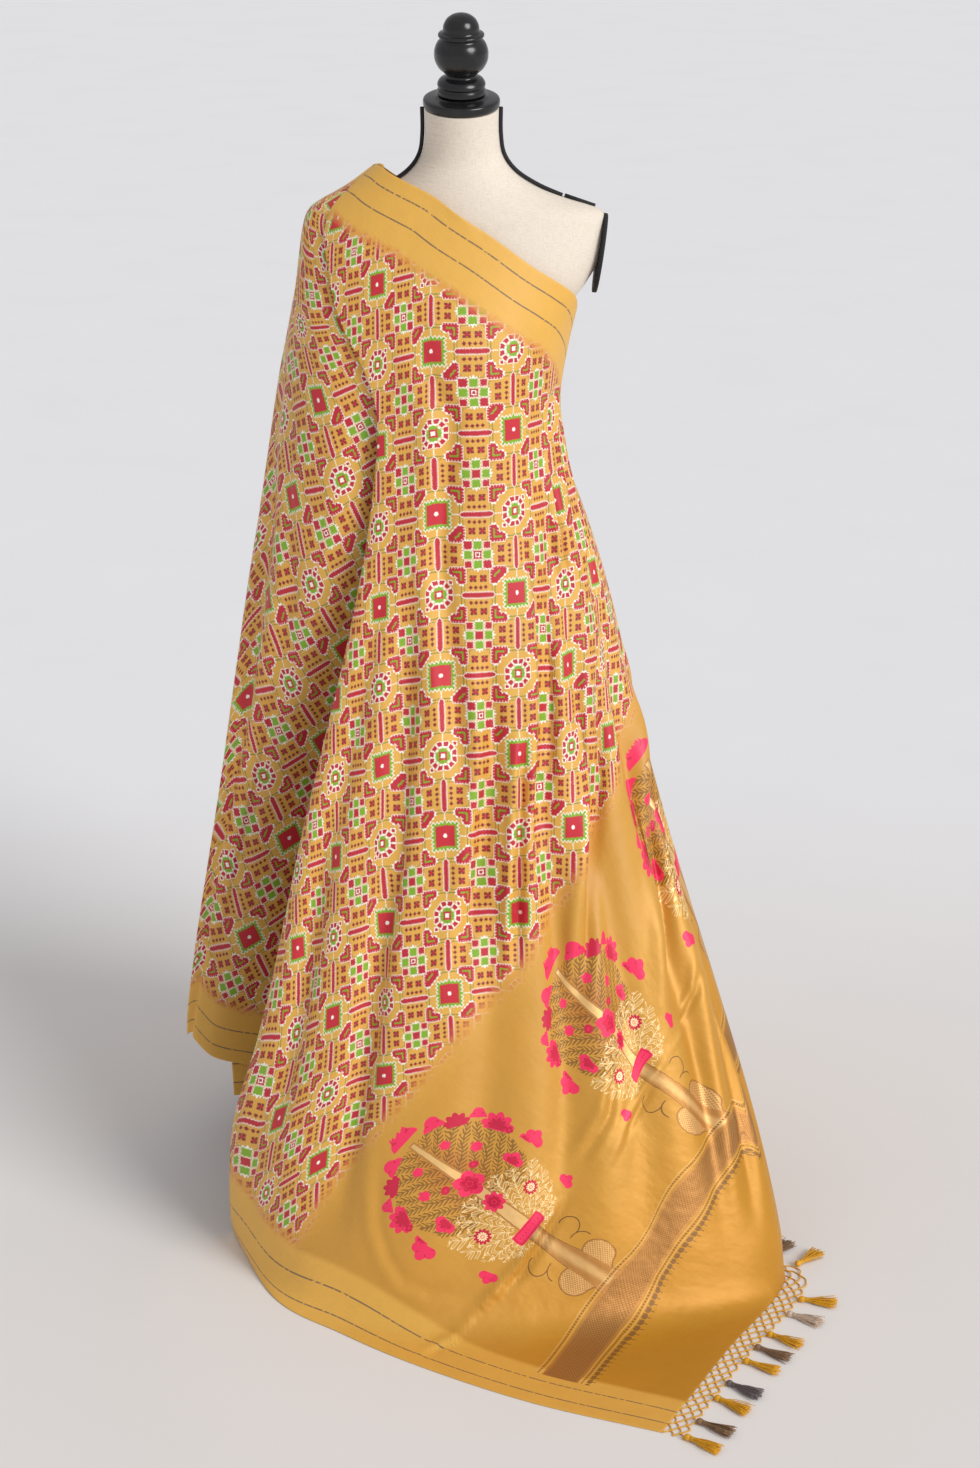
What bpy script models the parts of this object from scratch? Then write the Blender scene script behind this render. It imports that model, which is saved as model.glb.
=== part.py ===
"""A printed silk sari, draped over one shoulder of a limbless dress form.

Metres, +Z up. The front faces -Y and the viewer's right is +X. The origin is
the middle of the stand's underside, on the floor. The cloth is a thin wall
lofted through sections of the drape. A place on a section is given by its
turn in degrees: 0 at the front, 90 at +X, 180 at the back, -90 at -X.
"""
import math
from collections import namedtuple
from random import Random

import bmesh
import bpy
from mathutils import Matrix, Vector

WALL = 0.0015
GAP = 0.0003
FLOOR_CLEARANCE = 0.0002
LINE_STEPS = 90
FINE_STEPS = 120
SOFTENING = 10
FRONT_ROWS = 30
SIDE_ROWS = 25
HEM_COLUMNS = 17
PALLU_COLUMNS = 24
SHOULDER_COLUMNS = 18
BACK_COLUMNS = 22
FRONT_ROW_EASE = 1.35
SIDE_ROW_EASE = 1.4

# The drape's outline at each height: how far it reaches to each side of the
# stand's axis, and how far forward or back its widest point lies.
Section = namedtuple("Section", "height left left_y right right_y front back")
DRAPE = [
    Section(1.400, 0.090, 0.000, 0.090, 0.000, 0.060, 0.066),
    Section(1.385, 0.110, 0.000, 0.110, 0.000, 0.066, 0.073),
    Section(1.360, 0.144, 0.000, 0.144, 0.000, 0.074, 0.082),
    Section(1.335, 0.187, 0.000, 0.187, 0.000, 0.083, 0.091),
    Section(1.318, 0.197, 0.000, 0.192, 0.000, 0.087, 0.094),
    Section(1.280, 0.204, 0.000, 0.190, 0.000, 0.100, 0.099),
    Section(1.240, 0.210, 0.000, 0.166, 0.000, 0.118, 0.103),
    Section(1.210, 0.216, 0.000, 0.147, 0.000, 0.133, 0.105),
    Section(1.170, 0.223, 0.000, 0.136, 0.000, 0.147, 0.106),
    Section(1.120, 0.232, 0.000, 0.127, -0.005, 0.153, 0.106),
    Section(1.070, 0.240, -0.005, 0.121, -0.010, 0.158, 0.108),
    Section(1.010, 0.250, -0.010, 0.133, -0.015, 0.166, 0.114),
    Section(0.950, 0.261, -0.010, 0.157, -0.030, 0.176, 0.124),
    Section(0.850, 0.280, -0.015, 0.191, -0.050, 0.199, 0.145),
    Section(0.700, 0.306, -0.020, 0.228, -0.080, 0.240, 0.180),
    Section(0.500, 0.341, -0.030, 0.284, -0.130, 0.300, 0.226),
    Section(0.300, 0.376, -0.030, 0.350, -0.200, 0.364, 0.272),
    Section(0.200, 0.389, -0.030, 0.383, -0.245, 0.398, 0.292),
    Section(0.120, 0.380, -0.030, 0.404, -0.285, 0.424, 0.308),
    Section(0.050, 0.370, -0.030, 0.417, -0.318, 0.450, 0.320),
    Section(0.000, 0.360, -0.030, 0.420, -0.330, 0.470, 0.330),
]
# Low down, the right side comes to a ridge: the power of its back quarter.
RIDGE_POWER = 1.1
RIDGE_TOP = 0.55

# The top edge of the cloth: over the left shoulder, under the right arm.
Rim = namedtuple("Rim", "turn height")
RIM = [
    Rim(-90, 1.387), Rim(-60, 1.385), Rim(-15, 1.360), Rim(7, 1.320),
    Rim(26, 1.278), Rim(41, 1.256), Rim(63, 1.230), Rim(80, 1.207),
    Rim(95, 1.182), Rim(110, 1.200), Rim(135, 1.262), Rim(155, 1.300),
    Rim(180, 1.335), Rim(205, 1.352), Rim(235, 1.376), Rim(270, 1.387),
]
RIM_SEARCH = (1.10, 1.399)
RIM_SEARCH_STEPS = 24

# Where the front stretch begins, at its folded left edge, and where it ends,
# at the top selvedge that falls from under the arm to the floor behind.
Edge = namedtuple("Edge", "height fold selvedge")
FRONT_EDGES = [
    Edge(1.400, -88, 92), Edge(1.385, -82, 92), Edge(1.300, -58, 93),
    Edge(1.220, -47, 94), Edge(1.177, -36, 95), Edge(1.113, -26, 98),
    Edge(1.000, -27, 104), Edge(0.838, -31, 112), Edge(0.700, -36, 119),
    Edge(0.580, -40, 125), Edge(0.300, -47, 140), Edge(0.150, -55, 149),
    Edge(0.000, -62, 158),
]

# The lower edge of the front stretch, laid out on the floor, by the share of
# the way across from the folded edge (0) to the falling selvedge (1).
CORNER_SHARE = 0.409
Hem = namedtuple("Hem", "share x y")
FRONT_HEM = [
    Hem(0.000, -0.309, -0.220), Hem(0.080, -0.243, -0.382),
    Hem(0.170, -0.150, -0.467), Hem(0.250, -0.050, -0.540),
    Hem(0.330, 0.085, -0.617), Hem(CORNER_SHARE, 0.239, -0.679),
]
PALLU_END = [
    Hem(CORNER_SHARE, 0.239, -0.679), Hem(0.530, 0.328, -0.508),
    Hem(0.660, 0.419, -0.340), Hem(0.705, 0.377, -0.302),
    Hem(0.755, 0.324, -0.222), Hem(0.795, 0.287, -0.148),
    Hem(0.895, 0.175, 0.062), Hem(1.000, 0.064, 0.258),
]

# The height of the lower edge of the shoulder fall and of the back.
Hang = namedtuple("Hang", "turn height")
SIDE_HEM = [
    Hang(90, 0.050), Hang(152, 0.050), Hang(168, 0.006), Hang(185, 0.010),
    Hang(200, 0.045), Hang(215, 0.090), Hang(240, 0.145), Hang(262, 0.188),
    Hang(272, 0.205), Hang(285, 0.196), Hang(297, 0.168), Hang(312, 0.145),
    Hang(330, 0.138),
]

# Each fold is a trough that runs down the cloth: its place across the piece
# where it starts and at the floor, its start height, depth and half width.
Fold = namedtuple("Fold", "top_share low_share start depth half_width")
FRONT_FOLDS = [
    Fold(0.060, 0.045, 1.05, 0.010, 0.022),
    Fold(0.110, 0.150, 1.00, 0.015, 0.026),
    Fold(0.300, 0.270, 0.85, 0.010, 0.026),
    Fold(0.440, 0.350, 1.08, 0.016, 0.024),
    Fold(0.560, 0.430, 1.08, 0.014, 0.028),
    Fold(0.700, 0.530, 0.98, 0.018, 0.030),
    Fold(0.800, 0.680, 0.90, 0.014, 0.026),
    Fold(0.880, 0.800, 1.02, 0.020, 0.030),
]
SHOULDER_FOLDS = [
    Fold(0.420, 0.400, 1.24, 0.014, 0.075),
    Fold(0.640, 0.630, 1.10, 0.018, 0.080),
    Fold(0.850, 0.840, 1.26, 0.016, 0.065),
]
BACK_FOLDS = [
    Fold(0.130, 0.150, 1.15, 0.018, 0.060),
    Fold(0.330, 0.340, 1.05, 0.022, 0.065),
    Fold(0.540, 0.520, 1.18, 0.018, 0.055),
    Fold(0.720, 0.700, 1.00, 0.022, 0.060),
]
FOLD_RUN_IN = 0.45
FOLD_FADE = 0.26

# The deep pleat under the front's folded edge, which opens from the chest down.
PLEAT_DEPTH = 0.032
PLEAT_SPREAD = 22
PLEAT_TOP = 1.19
PLEAT_LOW = 0.97
PLEAT_LAP = 7
LAP_TOP = 1.12
LAP_LOW = 0.95
SEAM_LAP = 2
SEAM_INSET = WALL + 0.0068
ROLL_RADIUS = 0.012
ROLL_SHARE = 0.05
ROLL_TOP = 1.10
ROLL_LOW = 0.92

# Lower down, the shoulder fall hangs as a flat panel, straight below the shoulder.
FLAT_SHARE = 0.93
FLAT_TOP = 1.05
FLAT_LOW = 0.50

# The back's seams: a butt at the left and a lap under the front at the right.
BACK_SEAM = 215
UNDERLAP = 12
UNDERLAP_TOP = 1.20
UNDERLAP_LOW = 1.10
UNDERLAP_INSET = 0.006
UNDERLAP_TURNS = (5.0, 20.0)

# The pleat's inner layer, in heights and in columns of the shoulder fall.
INNER_SEAM = 0.0050
INNER_INSET = 0.016
INNER_OPEN = 0.34
INNER_TOP = 0.460
INNER_HEM = 0.108
INNER_COLUMNS = 3
INNER_ROWS = 6

# The form, in the same words: half widths at each height, and its own centre.
Ring = namedtuple("Ring", "height half_width front back centre_y tilt")
NECK_TILT = math.radians(10)
TORSO = [
    Ring(0.740, 0.130, 0.085, 0.095, 0.0, 0.0),
    Ring(0.760, 0.150, 0.100, 0.112, 0.0, 0.0),
    Ring(0.820, 0.154, 0.108, 0.114, 0.0, 0.0),
    Ring(0.900, 0.134, 0.100, 0.100, 0.0, 0.0),
    Ring(0.980, 0.104, 0.088, 0.084, 0.0, 0.0),
    Ring(1.040, 0.100, 0.092, 0.084, 0.0, 0.0),
    Ring(1.110, 0.108, 0.122, 0.090, 0.0, 0.0),
    Ring(1.170, 0.122, 0.134, 0.094, 0.0, 0.0),
    Ring(1.210, 0.134, 0.122, 0.094, 0.0, 0.0),
    Ring(1.240, 0.156, 0.104, 0.092, 0.0, 0.0),
    Ring(1.280, 0.178, 0.086, 0.088, 0.0, 0.0),
    Ring(1.318, 0.180, 0.070, 0.076, 0.0, 0.0),
    Ring(1.332, 0.170, 0.064, 0.070, 0.0, 0.0),
    Ring(1.345, 0.128, 0.059, 0.065, 0.0, 0.0),
    Ring(1.358, 0.094, 0.055, 0.060, 0.0, 0.0),
    Ring(1.376, 0.066, 0.051, 0.056, 0.0, 0.2),
    Ring(1.398, 0.050, 0.046, 0.049, -0.001, 0.6),
    Ring(1.425, 0.0455, 0.0445, 0.0455, -0.004, 1.0),
    Ring(1.457, 0.0455, 0.0455, 0.0455, -0.009, 1.0),
]
ARM_PLATE_CENTRE = Vector((0.1700, 0.0, 1.276))
ARM_PLATE_TILT = math.radians(-8)
ARM_PLATE_HEIGHT = 0.050
ARM_PLATE_DEPTH = 0.038
ARM_PLATE_THICKNESS = 0.0055
ARM_PLATE_SIDES = 28
ARM_PLATE_ROUNDING = 0.0015
CUTTER_THICKNESS = 0.10
CUTTER_GROWTH = 3.0
PIPING_RADIUS = 0.0018
PIPING_CLEARANCE = 0.0012
PIPING_LOW_END = 1.333
PIPING_END_STEP = 0.004
POLE_RADIUS = 0.0125
BASE_RADIUS = 0.150
BASE_HEIGHT = 0.018

# The cap's disc and finial, turned: radius and height above the neck's top.
CAP_PROFILE = [
    (0.0, 0.0155), (0.030, 0.0155), (0.0325, 0.0135), (0.0455, 0.0120),
    (0.0475, 0.0095), (0.0475, 0.0030), (0.0450, 0.0), (0.0, 0.0),
]
FINIAL_PROFILE = [
    (0.0, 0.1000), (0.010, 0.0985), (0.018, 0.0930), (0.0220, 0.0850),
    (0.0225, 0.0770), (0.0280, 0.0755), (0.0285, 0.0720), (0.0240, 0.0700),
    (0.0300, 0.0640), (0.0335, 0.0540), (0.0330, 0.0430), (0.0280, 0.0330),
    (0.0200, 0.0270), (0.0195, 0.0230), (0.0260, 0.0200), (0.0290, 0.0160),
    (0.0300, 0.0120), (0.0280, 0.0100), (0.0300, 0.0060), (0.0300, 0.0),
    (0.0, 0.0),
]

TORSO_SIDES = 32
TURNED_SIDES = 20
PALLU_STEPS = 200
NET_START = 0.0018
NET_WIDTH = 0.028
NET_THICKNESS = 0.0014
NET_ROWS = 2
NET_PITCH = 0.0180
NET_CORD = 0.0028
TASSEL_SEAT = 0.0036
TASSEL_PITCH = 0.043
TASSEL_LENGTH = 0.045
TASSEL_HEAD_RADIUS = 0.0060
TASSEL_SPREAD = 0.0105
TASSEL_FLATNESS = 0.35
TASSEL_LIFT = 0.0066
SWING = 15
STRANDS = 8
STRAND_TAPER = 0.34

SILK = (0.62, 0.38, 0.09)
LINEN = (0.80, 0.72, 0.60)
BLACK = (0.012, 0.012, 0.013)
THREAD = (0.70, 0.42, 0.04)
STEEL = (0.30, 0.30, 0.31)


def clear_scene():
    for old in list(bpy.data.objects):
        bpy.data.objects.remove(old, do_unlink=True)


def material(name, colour, roughness, metallic=0.0):
    made = bpy.data.materials.new(name)
    made.use_nodes = True
    shader = made.node_tree.nodes["Principled BSDF"]
    shader.inputs["Base Color"].default_value = (*colour, 1.0)
    shader.inputs["Roughness"].default_value = roughness
    shader.inputs["Metallic"].default_value = metallic
    return made


def smooth_step(low, high, value):
    share = min(1.0, max(0.0, (value - low) / (high - low)))
    return share * share * (3.0 - 2.0 * share)


def read_row(rows, key, at):
    """Every column of a table at one key, on a smooth curve through its rows."""
    rows = sorted(rows, key=lambda row: getattr(row, key))
    keys = [getattr(row, key) for row in rows]
    at = min(keys[-1], max(keys[0], at))
    index = max(i for i in range(len(keys) - 1) if keys[i] <= at)
    span = keys[index + 1] - keys[index]
    share = (at - keys[index]) / span

    def slope(column, i):
        before = max(0, i - 1)
        after = min(len(rows) - 1, i + 1)
        return (rows[after][column] - rows[before][column]) / (keys[after] - keys[before])

    values = []
    for column in range(len(rows[0])):
        start = rows[index][column]
        end = rows[index + 1][column]
        start_pull = slope(column, index) * span
        end_pull = slope(column, index + 1) * span
        values.append(
            start * (1 + 2 * share) * (1 - share) ** 2
            + start_pull * share * (1 - share) ** 2
            + end * share ** 2 * (3 - 2 * share)
            + end_pull * share ** 2 * (share - 1)
        )
    return type(rows[0])(*values)


def section_point(height, turn, inset=0.0, flat=0.0):
    """A point of the drape's outline, moved in by inset towards the middle.

    The share flat pushes the front left quarter back towards a flat panel.
    """
    row = read_row(DRAPE, "height", height)
    angle = math.radians(turn)
    across = math.sin(angle)
    ahead = math.cos(angle)
    reach = row.right if across > 0 else row.left
    middle = row.right_y if across > 0 else row.left_y
    depth = row.front + middle if ahead > 0 else row.back - middle
    if across < 0 < ahead:
        depth *= 1.0 - flat
    if across > 0 > ahead:
        power = RIDGE_POWER + (2.0 - RIDGE_POWER) * smooth_step(0.0, RIDGE_TOP, height)
        across = across ** (2.0 / power)
        ahead = -((-ahead) ** (2.0 / power))
    return Vector((
        (reach - inset) * across,
        middle - (depth - inset) * ahead,
        height,
    ))


def fold_depth(folds, share, height):
    total = 0.0
    for fold in folds:
        fall = 1.0 - height / fold.start
        if fall <= 0.0:
            continue
        centre = fold.top_share + (fold.low_share - fold.top_share) * fall
        away = (share - centre) / fold.half_width
        total += fold.depth * math.exp(-away * away) * smooth_step(0.0, FOLD_RUN_IN, fall)
    return total * smooth_step(0.0, FOLD_FADE, height)


def rim_height(turn_at):
    """The height at which a hang line meets the top edge."""
    low, high = RIM_SEARCH
    for _ in range(RIM_SEARCH_STEPS):
        middle = 0.5 * (low + high)
        if middle > read_row(RIM, "turn", turn_at(middle)).height:
            high = middle
        else:
            low = middle
    return low


def resample(points, count, ease=1.0):
    """The same line with its points an equal way apart, or closer near its start."""
    lengths = [0.0]
    for before, after in zip(points, points[1:]):
        lengths.append(lengths[-1] + (after - before).length)
    placed = []
    index = 0
    for step in range(count + 1):
        wanted = lengths[-1] * (step / count) ** ease
        while index < len(lengths) - 2 and lengths[index + 1] < wanted:
            index += 1
        span = max(1e-9, lengths[index + 1] - lengths[index])
        placed.append(points[index].lerp(points[index + 1], (wanted - lengths[index]) / span))
    return placed


def soften(points, rounds):
    """Round the bend where the hanging cloth meets the floor."""
    for _ in range(rounds):
        inner = [
            (before + 2.0 * here + after) / 4.0
            for before, here, after in zip(points, points[1:], points[2:])
        ]
        points = [points[0], *inner, points[-1]]
    return points


def front_hem_point(share):
    rows = FRONT_HEM if share <= CORNER_SHARE else PALLU_END
    row = read_row(rows, "share", share)
    return Vector((row.x, row.y, 0.0))


def opened(height, top, low):
    """How far a pleat or lap has opened on its way down from top to low."""
    return 1.0 - smooth_step(low, top, height)


def front_line(share):
    """One hang line of the front stretch, from its top edge to its hem."""
    def turn_at(height):
        row = read_row(FRONT_EDGES, "height", height)
        return row.fold + share * (row.selvedge - row.fold)

    def inset_at(height):
        inset = fold_depth(FRONT_FOLDS, share, height)
        if share < ROLL_SHARE:
            away = 1.0 - share / ROLL_SHARE
            roll = ROLL_RADIUS * (1.0 - math.sqrt(1.0 - away * away))
            inset += roll * opened(height, ROLL_TOP, ROLL_LOW)
        return inset

    top = rim_height(turn_at)
    foot = WALL + FLOOR_CLEARANCE
    points = []
    for step in range(LINE_STEPS + 1):
        height = top + (foot - top) * step / LINE_STEPS
        points.append(section_point(height, turn_at(height), inset_at(height)))
    hem = front_hem_point(share)
    hem.z = foot
    points.append(hem)
    return soften(resample(points, FINE_STEPS), SOFTENING)


def fall_flatness(height):
    return FLAT_SHARE * opened(height, FLAT_TOP, FLAT_LOW)


def side_line(start_turn, end_turn, share, folds, inset):
    """One hang line of the shoulder fall or the back."""
    def turn_at(height):
        return start_turn(height) + share * (end_turn(height) - start_turn(height))

    top = rim_height(turn_at)
    low = read_row(SIDE_HEM, "turn", turn_at(0.15) % 360).height
    points = []
    for step in range(LINE_STEPS + 1):
        height = top + (low - top) * step / LINE_STEPS
        turn = turn_at(height)
        depth = fold_depth(folds, share, height) + inset(height, turn)
        points.append(section_point(height, turn, depth, fall_flatness(height)))
    return points


def seam_turn(height):
    """Half the gap between the fall and the back, as a turn."""
    seam = section_point(height, BACK_SEAM)
    return math.degrees(0.6 * GAP / math.hypot(seam.x, seam.y))


def shoulder_start(height):
    fold = read_row(FRONT_EDGES, "height", height).fold
    return 360 + fold + SEAM_LAP + PLEAT_LAP * opened(height, LAP_TOP, LAP_LOW)


def shoulder_end(height):
    return BACK_SEAM + seam_turn(height)


def shoulder_inset(height, turn):
    """The fall starts under the front's edge, and deeper in as the pleat opens."""
    away = (shoulder_start(height) - turn) / PLEAT_SPREAD
    depth = SEAM_INSET + PLEAT_DEPTH * opened(height, PLEAT_TOP, PLEAT_LOW)
    return depth * (1.0 - smooth_step(0.0, 1.0, away))


def back_start(height):
    return BACK_SEAM - seam_turn(height)


def back_end(height):
    selvedge = read_row(FRONT_EDGES, "height", height).selvedge
    return selvedge - UNDERLAP * opened(height, UNDERLAP_TOP, UNDERLAP_LOW)


def back_inset(height, turn):
    """Where the back runs under the front stretch it follows the folds there."""
    row = read_row(FRONT_EDGES, "height", height)
    share = (turn - row.fold) / (row.selvedge - row.fold)
    under = 1.0 - smooth_step(*UNDERLAP_TURNS, turn - row.selvedge)
    return UNDERLAP_INSET * under + fold_depth(FRONT_FOLDS, share, height)


def grid_object(name, lines, paint):
    """A cloth wall: an open grid of hang lines, thickened inwards."""
    rows = len(lines[0])
    points = [point for line in lines for point in line]
    faces = []
    for column in range(len(lines) - 1):
        for row in range(rows - 1):
            here = column * rows + row
            faces.append((here, here + 1, here + rows + 1, here + rows))
    mesh = bpy.data.meshes.new(name)
    mesh.from_pydata(points, [], faces)
    mesh.shade_smooth()
    made = bpy.data.objects.new(name, mesh)
    made.data.materials.append(paint)
    wall = made.modifiers.new("Wall", "SOLIDIFY")
    wall.thickness = WALL
    wall.offset = -1.0
    return made


def front_stretch(paint):
    shares = [CORNER_SHARE * i / HEM_COLUMNS for i in range(HEM_COLUMNS)]
    shares += [
        CORNER_SHARE + (1.0 - CORNER_SHARE) * i / PALLU_COLUMNS
        for i in range(PALLU_COLUMNS + 1)
    ]
    lines = [resample(front_line(share), FRONT_ROWS, FRONT_ROW_EASE) for share in shares]
    return grid_object("sari_front", lines, paint)


def shoulder_stretch(paint):
    lines = []
    for column in range(SHOULDER_COLUMNS + 1):
        line = side_line(shoulder_start, shoulder_end, column / SHOULDER_COLUMNS,
                         SHOULDER_FOLDS, shoulder_inset)
        lines.append(resample(line, SIDE_ROWS, SIDE_ROW_EASE))
    lines.reverse()
    return grid_object("sari_shoulder_fall", lines, paint)


def back_stretch(paint):
    lines = []
    for column in range(BACK_COLUMNS + 1):
        line = side_line(back_start, back_end, column / BACK_COLUMNS, BACK_FOLDS, back_inset)
        lines.append(resample(line, SIDE_ROWS, SIDE_ROW_EASE))
    lines.reverse()
    return grid_object("sari_back", lines, paint)


def inner_fold(paint):
    """The pleat's inner layer, whose hem shows below the shoulder fall."""
    lines = []
    for column in reversed(range(INNER_COLUMNS + 1)):
        share = column / SHOULDER_COLUMNS
        line = []
        for row in range(INNER_ROWS + 1):
            height = INNER_TOP + (INNER_HEM - INNER_TOP) * row / INNER_ROWS
            start = shoulder_start(height)
            turn = start + share * (shoulder_end(height) - start)
            inset = shoulder_inset(height, turn) + fold_depth(SHOULDER_FOLDS, share, height)
            fall = opened(height, INNER_TOP, INNER_OPEN)
            inset += INNER_SEAM + (INNER_INSET - INNER_SEAM) * fall
            line.append(section_point(height, turn, inset, fall_flatness(height)))
        lines.append(line)
    return grid_object("sari_inner_fold", lines, paint)


def lofted(name, rings, paint):
    """A closed solid through rings that have the same number of points."""
    count = len(rings[0])
    points = [point for ring in rings for point in ring]
    faces = []
    for level in range(len(rings) - 1):
        for index in range(count):
            after = (index + 1) % count
            here = level * count
            faces.append((here + index, here + after, here + count + after, here + count + index))
    top = (len(rings) - 1) * count
    faces.append(tuple(reversed(range(count))))
    faces.append(tuple(top + index for index in range(count)))
    mesh = bpy.data.meshes.new(name)
    mesh.from_pydata(points, [], faces)
    mesh.shade_smooth()
    mesh.set_sharp_from_angle(angle=math.radians(50))
    made = bpy.data.objects.new(name, mesh)
    made.data.materials.append(paint)
    return made


def torso_point(row, turn):
    angle = math.radians(turn)
    depth = row.front if math.cos(angle) > 0 else row.back
    forward = -depth * math.cos(angle)
    return Vector((
        row.half_width * math.sin(angle),
        row.centre_y + forward,
        row.height + forward * math.tan(NECK_TILT) * row.tilt,
    ))


def torso(paint, cutters):
    turns = [360 * index / TORSO_SIDES for index in range(TORSO_SIDES)]
    rings = [[torso_point(row, turn) for turn in turns] for row in TORSO]
    made = lofted("form_torso", rings, paint)
    for side in (-1, 1):
        cutter = arm_plate_blank(f"arm_cutter_{side}", side, CUTTER_THICKNESS, CUTTER_GROWTH)
        cutters.objects.link(cutter)
        cut = made.modifiers.new("Arm flat", "BOOLEAN")
        cut.object = cutter
        cut.operation = "DIFFERENCE"
    return made


def arm_plate_blank(name, side, thickness, growth):
    """An oval disc whose inner face lies on the arm's flat."""
    mesh = bpy.data.meshes.new(name)
    shape = bmesh.new()
    bmesh.ops.create_cone(
        shape, cap_ends=True, segments=ARM_PLATE_SIDES, radius1=1.0, radius2=1.0, depth=1.0,
    )
    scale = Matrix.Diagonal((ARM_PLATE_HEIGHT * growth, ARM_PLATE_DEPTH * growth, thickness, 1.0))
    bmesh.ops.transform(shape, matrix=scale, verts=shape.verts)
    move = Matrix.Translation((0.0, 0.0, thickness / 2.0))
    bmesh.ops.transform(shape, matrix=move, verts=shape.verts)
    shape.to_mesh(mesh)
    shape.free()
    mesh.shade_smooth()
    mesh.set_sharp_from_angle(angle=math.radians(40))
    made = bpy.data.objects.new(name, mesh)
    made.location = (side * ARM_PLATE_CENTRE.x, ARM_PLATE_CENTRE.y, ARM_PLATE_CENTRE.z)
    made.rotation_euler = (0.0, side * (math.radians(90) - ARM_PLATE_TILT), 0.0)
    return made


def arm_plates(paint):
    plates = []
    for side, name in ((-1, "form_arm_plate_left"), (1, "form_arm_plate_right")):
        plate = arm_plate_blank(name, side, ARM_PLATE_THICKNESS, 1.0)
        outward = Matrix.Rotation(plate.rotation_euler.y, 3, "Y") @ Vector((0.0, 0.0, 1.0))
        plate.location += outward * GAP
        plate.data.materials.append(paint)
        soft_rim = plate.modifiers.new("Soft rim", "BEVEL")
        soft_rim.width = ARM_PLATE_ROUNDING
        soft_rim.segments = 1
        soft_rim.limit_method = "ANGLE"
        plates.append(plate)
    return plates


def piping(paint):
    """The corded seam from the neck's top along each shoulder."""
    cords = []
    for side, name in ((-1, "form_piping_left"), (1, "form_piping_right")):
        curve = bpy.data.curves.new(name, "CURVE")
        curve.dimensions = "3D"
        curve.bevel_depth = PIPING_RADIUS
        curve.bevel_resolution = 1
        curve.use_fill_caps = True
        rows = [row for row in TORSO if row.height >= PIPING_LOW_END]
        outline = [Vector((row.half_width, row.height)) for row in rows]
        spline = curve.splines.new("POLY")
        spline.points.add(len(rows) - 1)
        for index, point in enumerate(spline.points):
            before = outline[max(0, index - 1)]
            after = outline[min(len(outline) - 1, index + 1)]
            along = (after - before).normalized()
            stand_off = PIPING_RADIUS + PIPING_CLEARANCE
            x = outline[index].x + stand_off * along.y - PIPING_END_STEP * (index == 0)
            z = outline[index].y - stand_off * along.x
            point.co = (side * x, rows[index].centre_y, z, 1.0)
        cord = bpy.data.objects.new(name, curve)
        cord.data.materials.append(paint)
        cords.append(cord)
    return cords


def turned(name, profile, place, tilt, paint):
    """A turned piece, from its profile of radius and height."""
    mesh = bpy.data.meshes.new(name)
    points = [(radius, 0.0, height) for radius, height in profile]
    edges = [(index, index + 1) for index in range(len(points) - 1)]
    mesh.from_pydata(points, edges, [])
    made = bpy.data.objects.new(name, mesh)
    made.location = place
    made.rotation_euler = (tilt, 0.0, 0.0)
    made.data.materials.append(paint)
    spin = made.modifiers.new("Turn", "SCREW")
    spin.steps = TURNED_SIDES
    spin.render_steps = TURNED_SIDES
    spin.use_merge_vertices = True
    spin.merge_threshold = 0.0001
    spin.use_smooth_shade = True
    return made


def stand_and_cap(wood, metal):
    neck = TORSO[-1]
    up = Matrix.Rotation(NECK_TILT, 3, "X") @ Vector((0.0, 0.0, 1.0))
    seat = Vector((0.0, neck.centre_y, neck.height)) + up * 2.0 * GAP
    cap = turned("form_neck_cap", CAP_PROFILE, seat, NECK_TILT, wood)
    top = seat + up * (CAP_PROFILE[0][1] + GAP)
    finial = turned("form_finial", FINIAL_PROFILE, top, NECK_TILT, wood)
    pole_foot = BASE_HEIGHT + GAP
    pole_top = TORSO[0].height - GAP
    pole_profile = [
        (0.0, pole_top), (POLE_RADIUS, pole_top), (POLE_RADIUS, pole_foot), (0.0, pole_foot),
    ]
    base_profile = [
        (0.0, BASE_HEIGHT), (0.030, BASE_HEIGHT), (BASE_RADIUS - 0.004, 0.010),
        (BASE_RADIUS, 0.006), (BASE_RADIUS, 0.0), (0.0, 0.0),
    ]
    pole = turned("form_pole", pole_profile, (0, 0, 0), 0.0, metal)
    base = turned("form_base", base_profile, (0, 0, 0), 0.0, metal)
    return [cap, finial, pole, base]


def pallu_edge_points(count):
    """Points an equal way apart along the pallu's end, and the way out there."""
    line = []
    for step in range(PALLU_STEPS + 1):
        row = read_row(PALLU_END, "share", CORNER_SHARE + (1.0 - CORNER_SHARE) * step / PALLU_STEPS)
        line.append(Vector((row.x, row.y, 0.0)))
    placed = resample(line, count)
    outward = []
    for index in range(len(placed)):
        before = placed[max(0, index - 1)]
        after = placed[min(len(placed) - 1, index + 1)]
        along = (after - before).normalized()
        outward.append(Vector((along.y, -along.x, 0.0)))
    return placed, outward


def pallu_length():
    points, _ = pallu_edge_points(PALLU_STEPS)
    return sum((after - before).length for before, after in zip(points, points[1:]))


def net_stations():
    """The net's cells, and a function that places a point by station and way out."""
    cells = round(pallu_length() / NET_PITCH)
    placed, outward = pallu_edge_points(2 * cells)

    def place(station, way_out):
        low = min(len(placed) - 2, max(0, int(station)))
        share = station - low
        middle = placed[low].lerp(placed[low + 1], share)
        out = outward[low].lerp(outward[low + 1], share).normalized()
        return middle + out * way_out

    return cells, place


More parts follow.
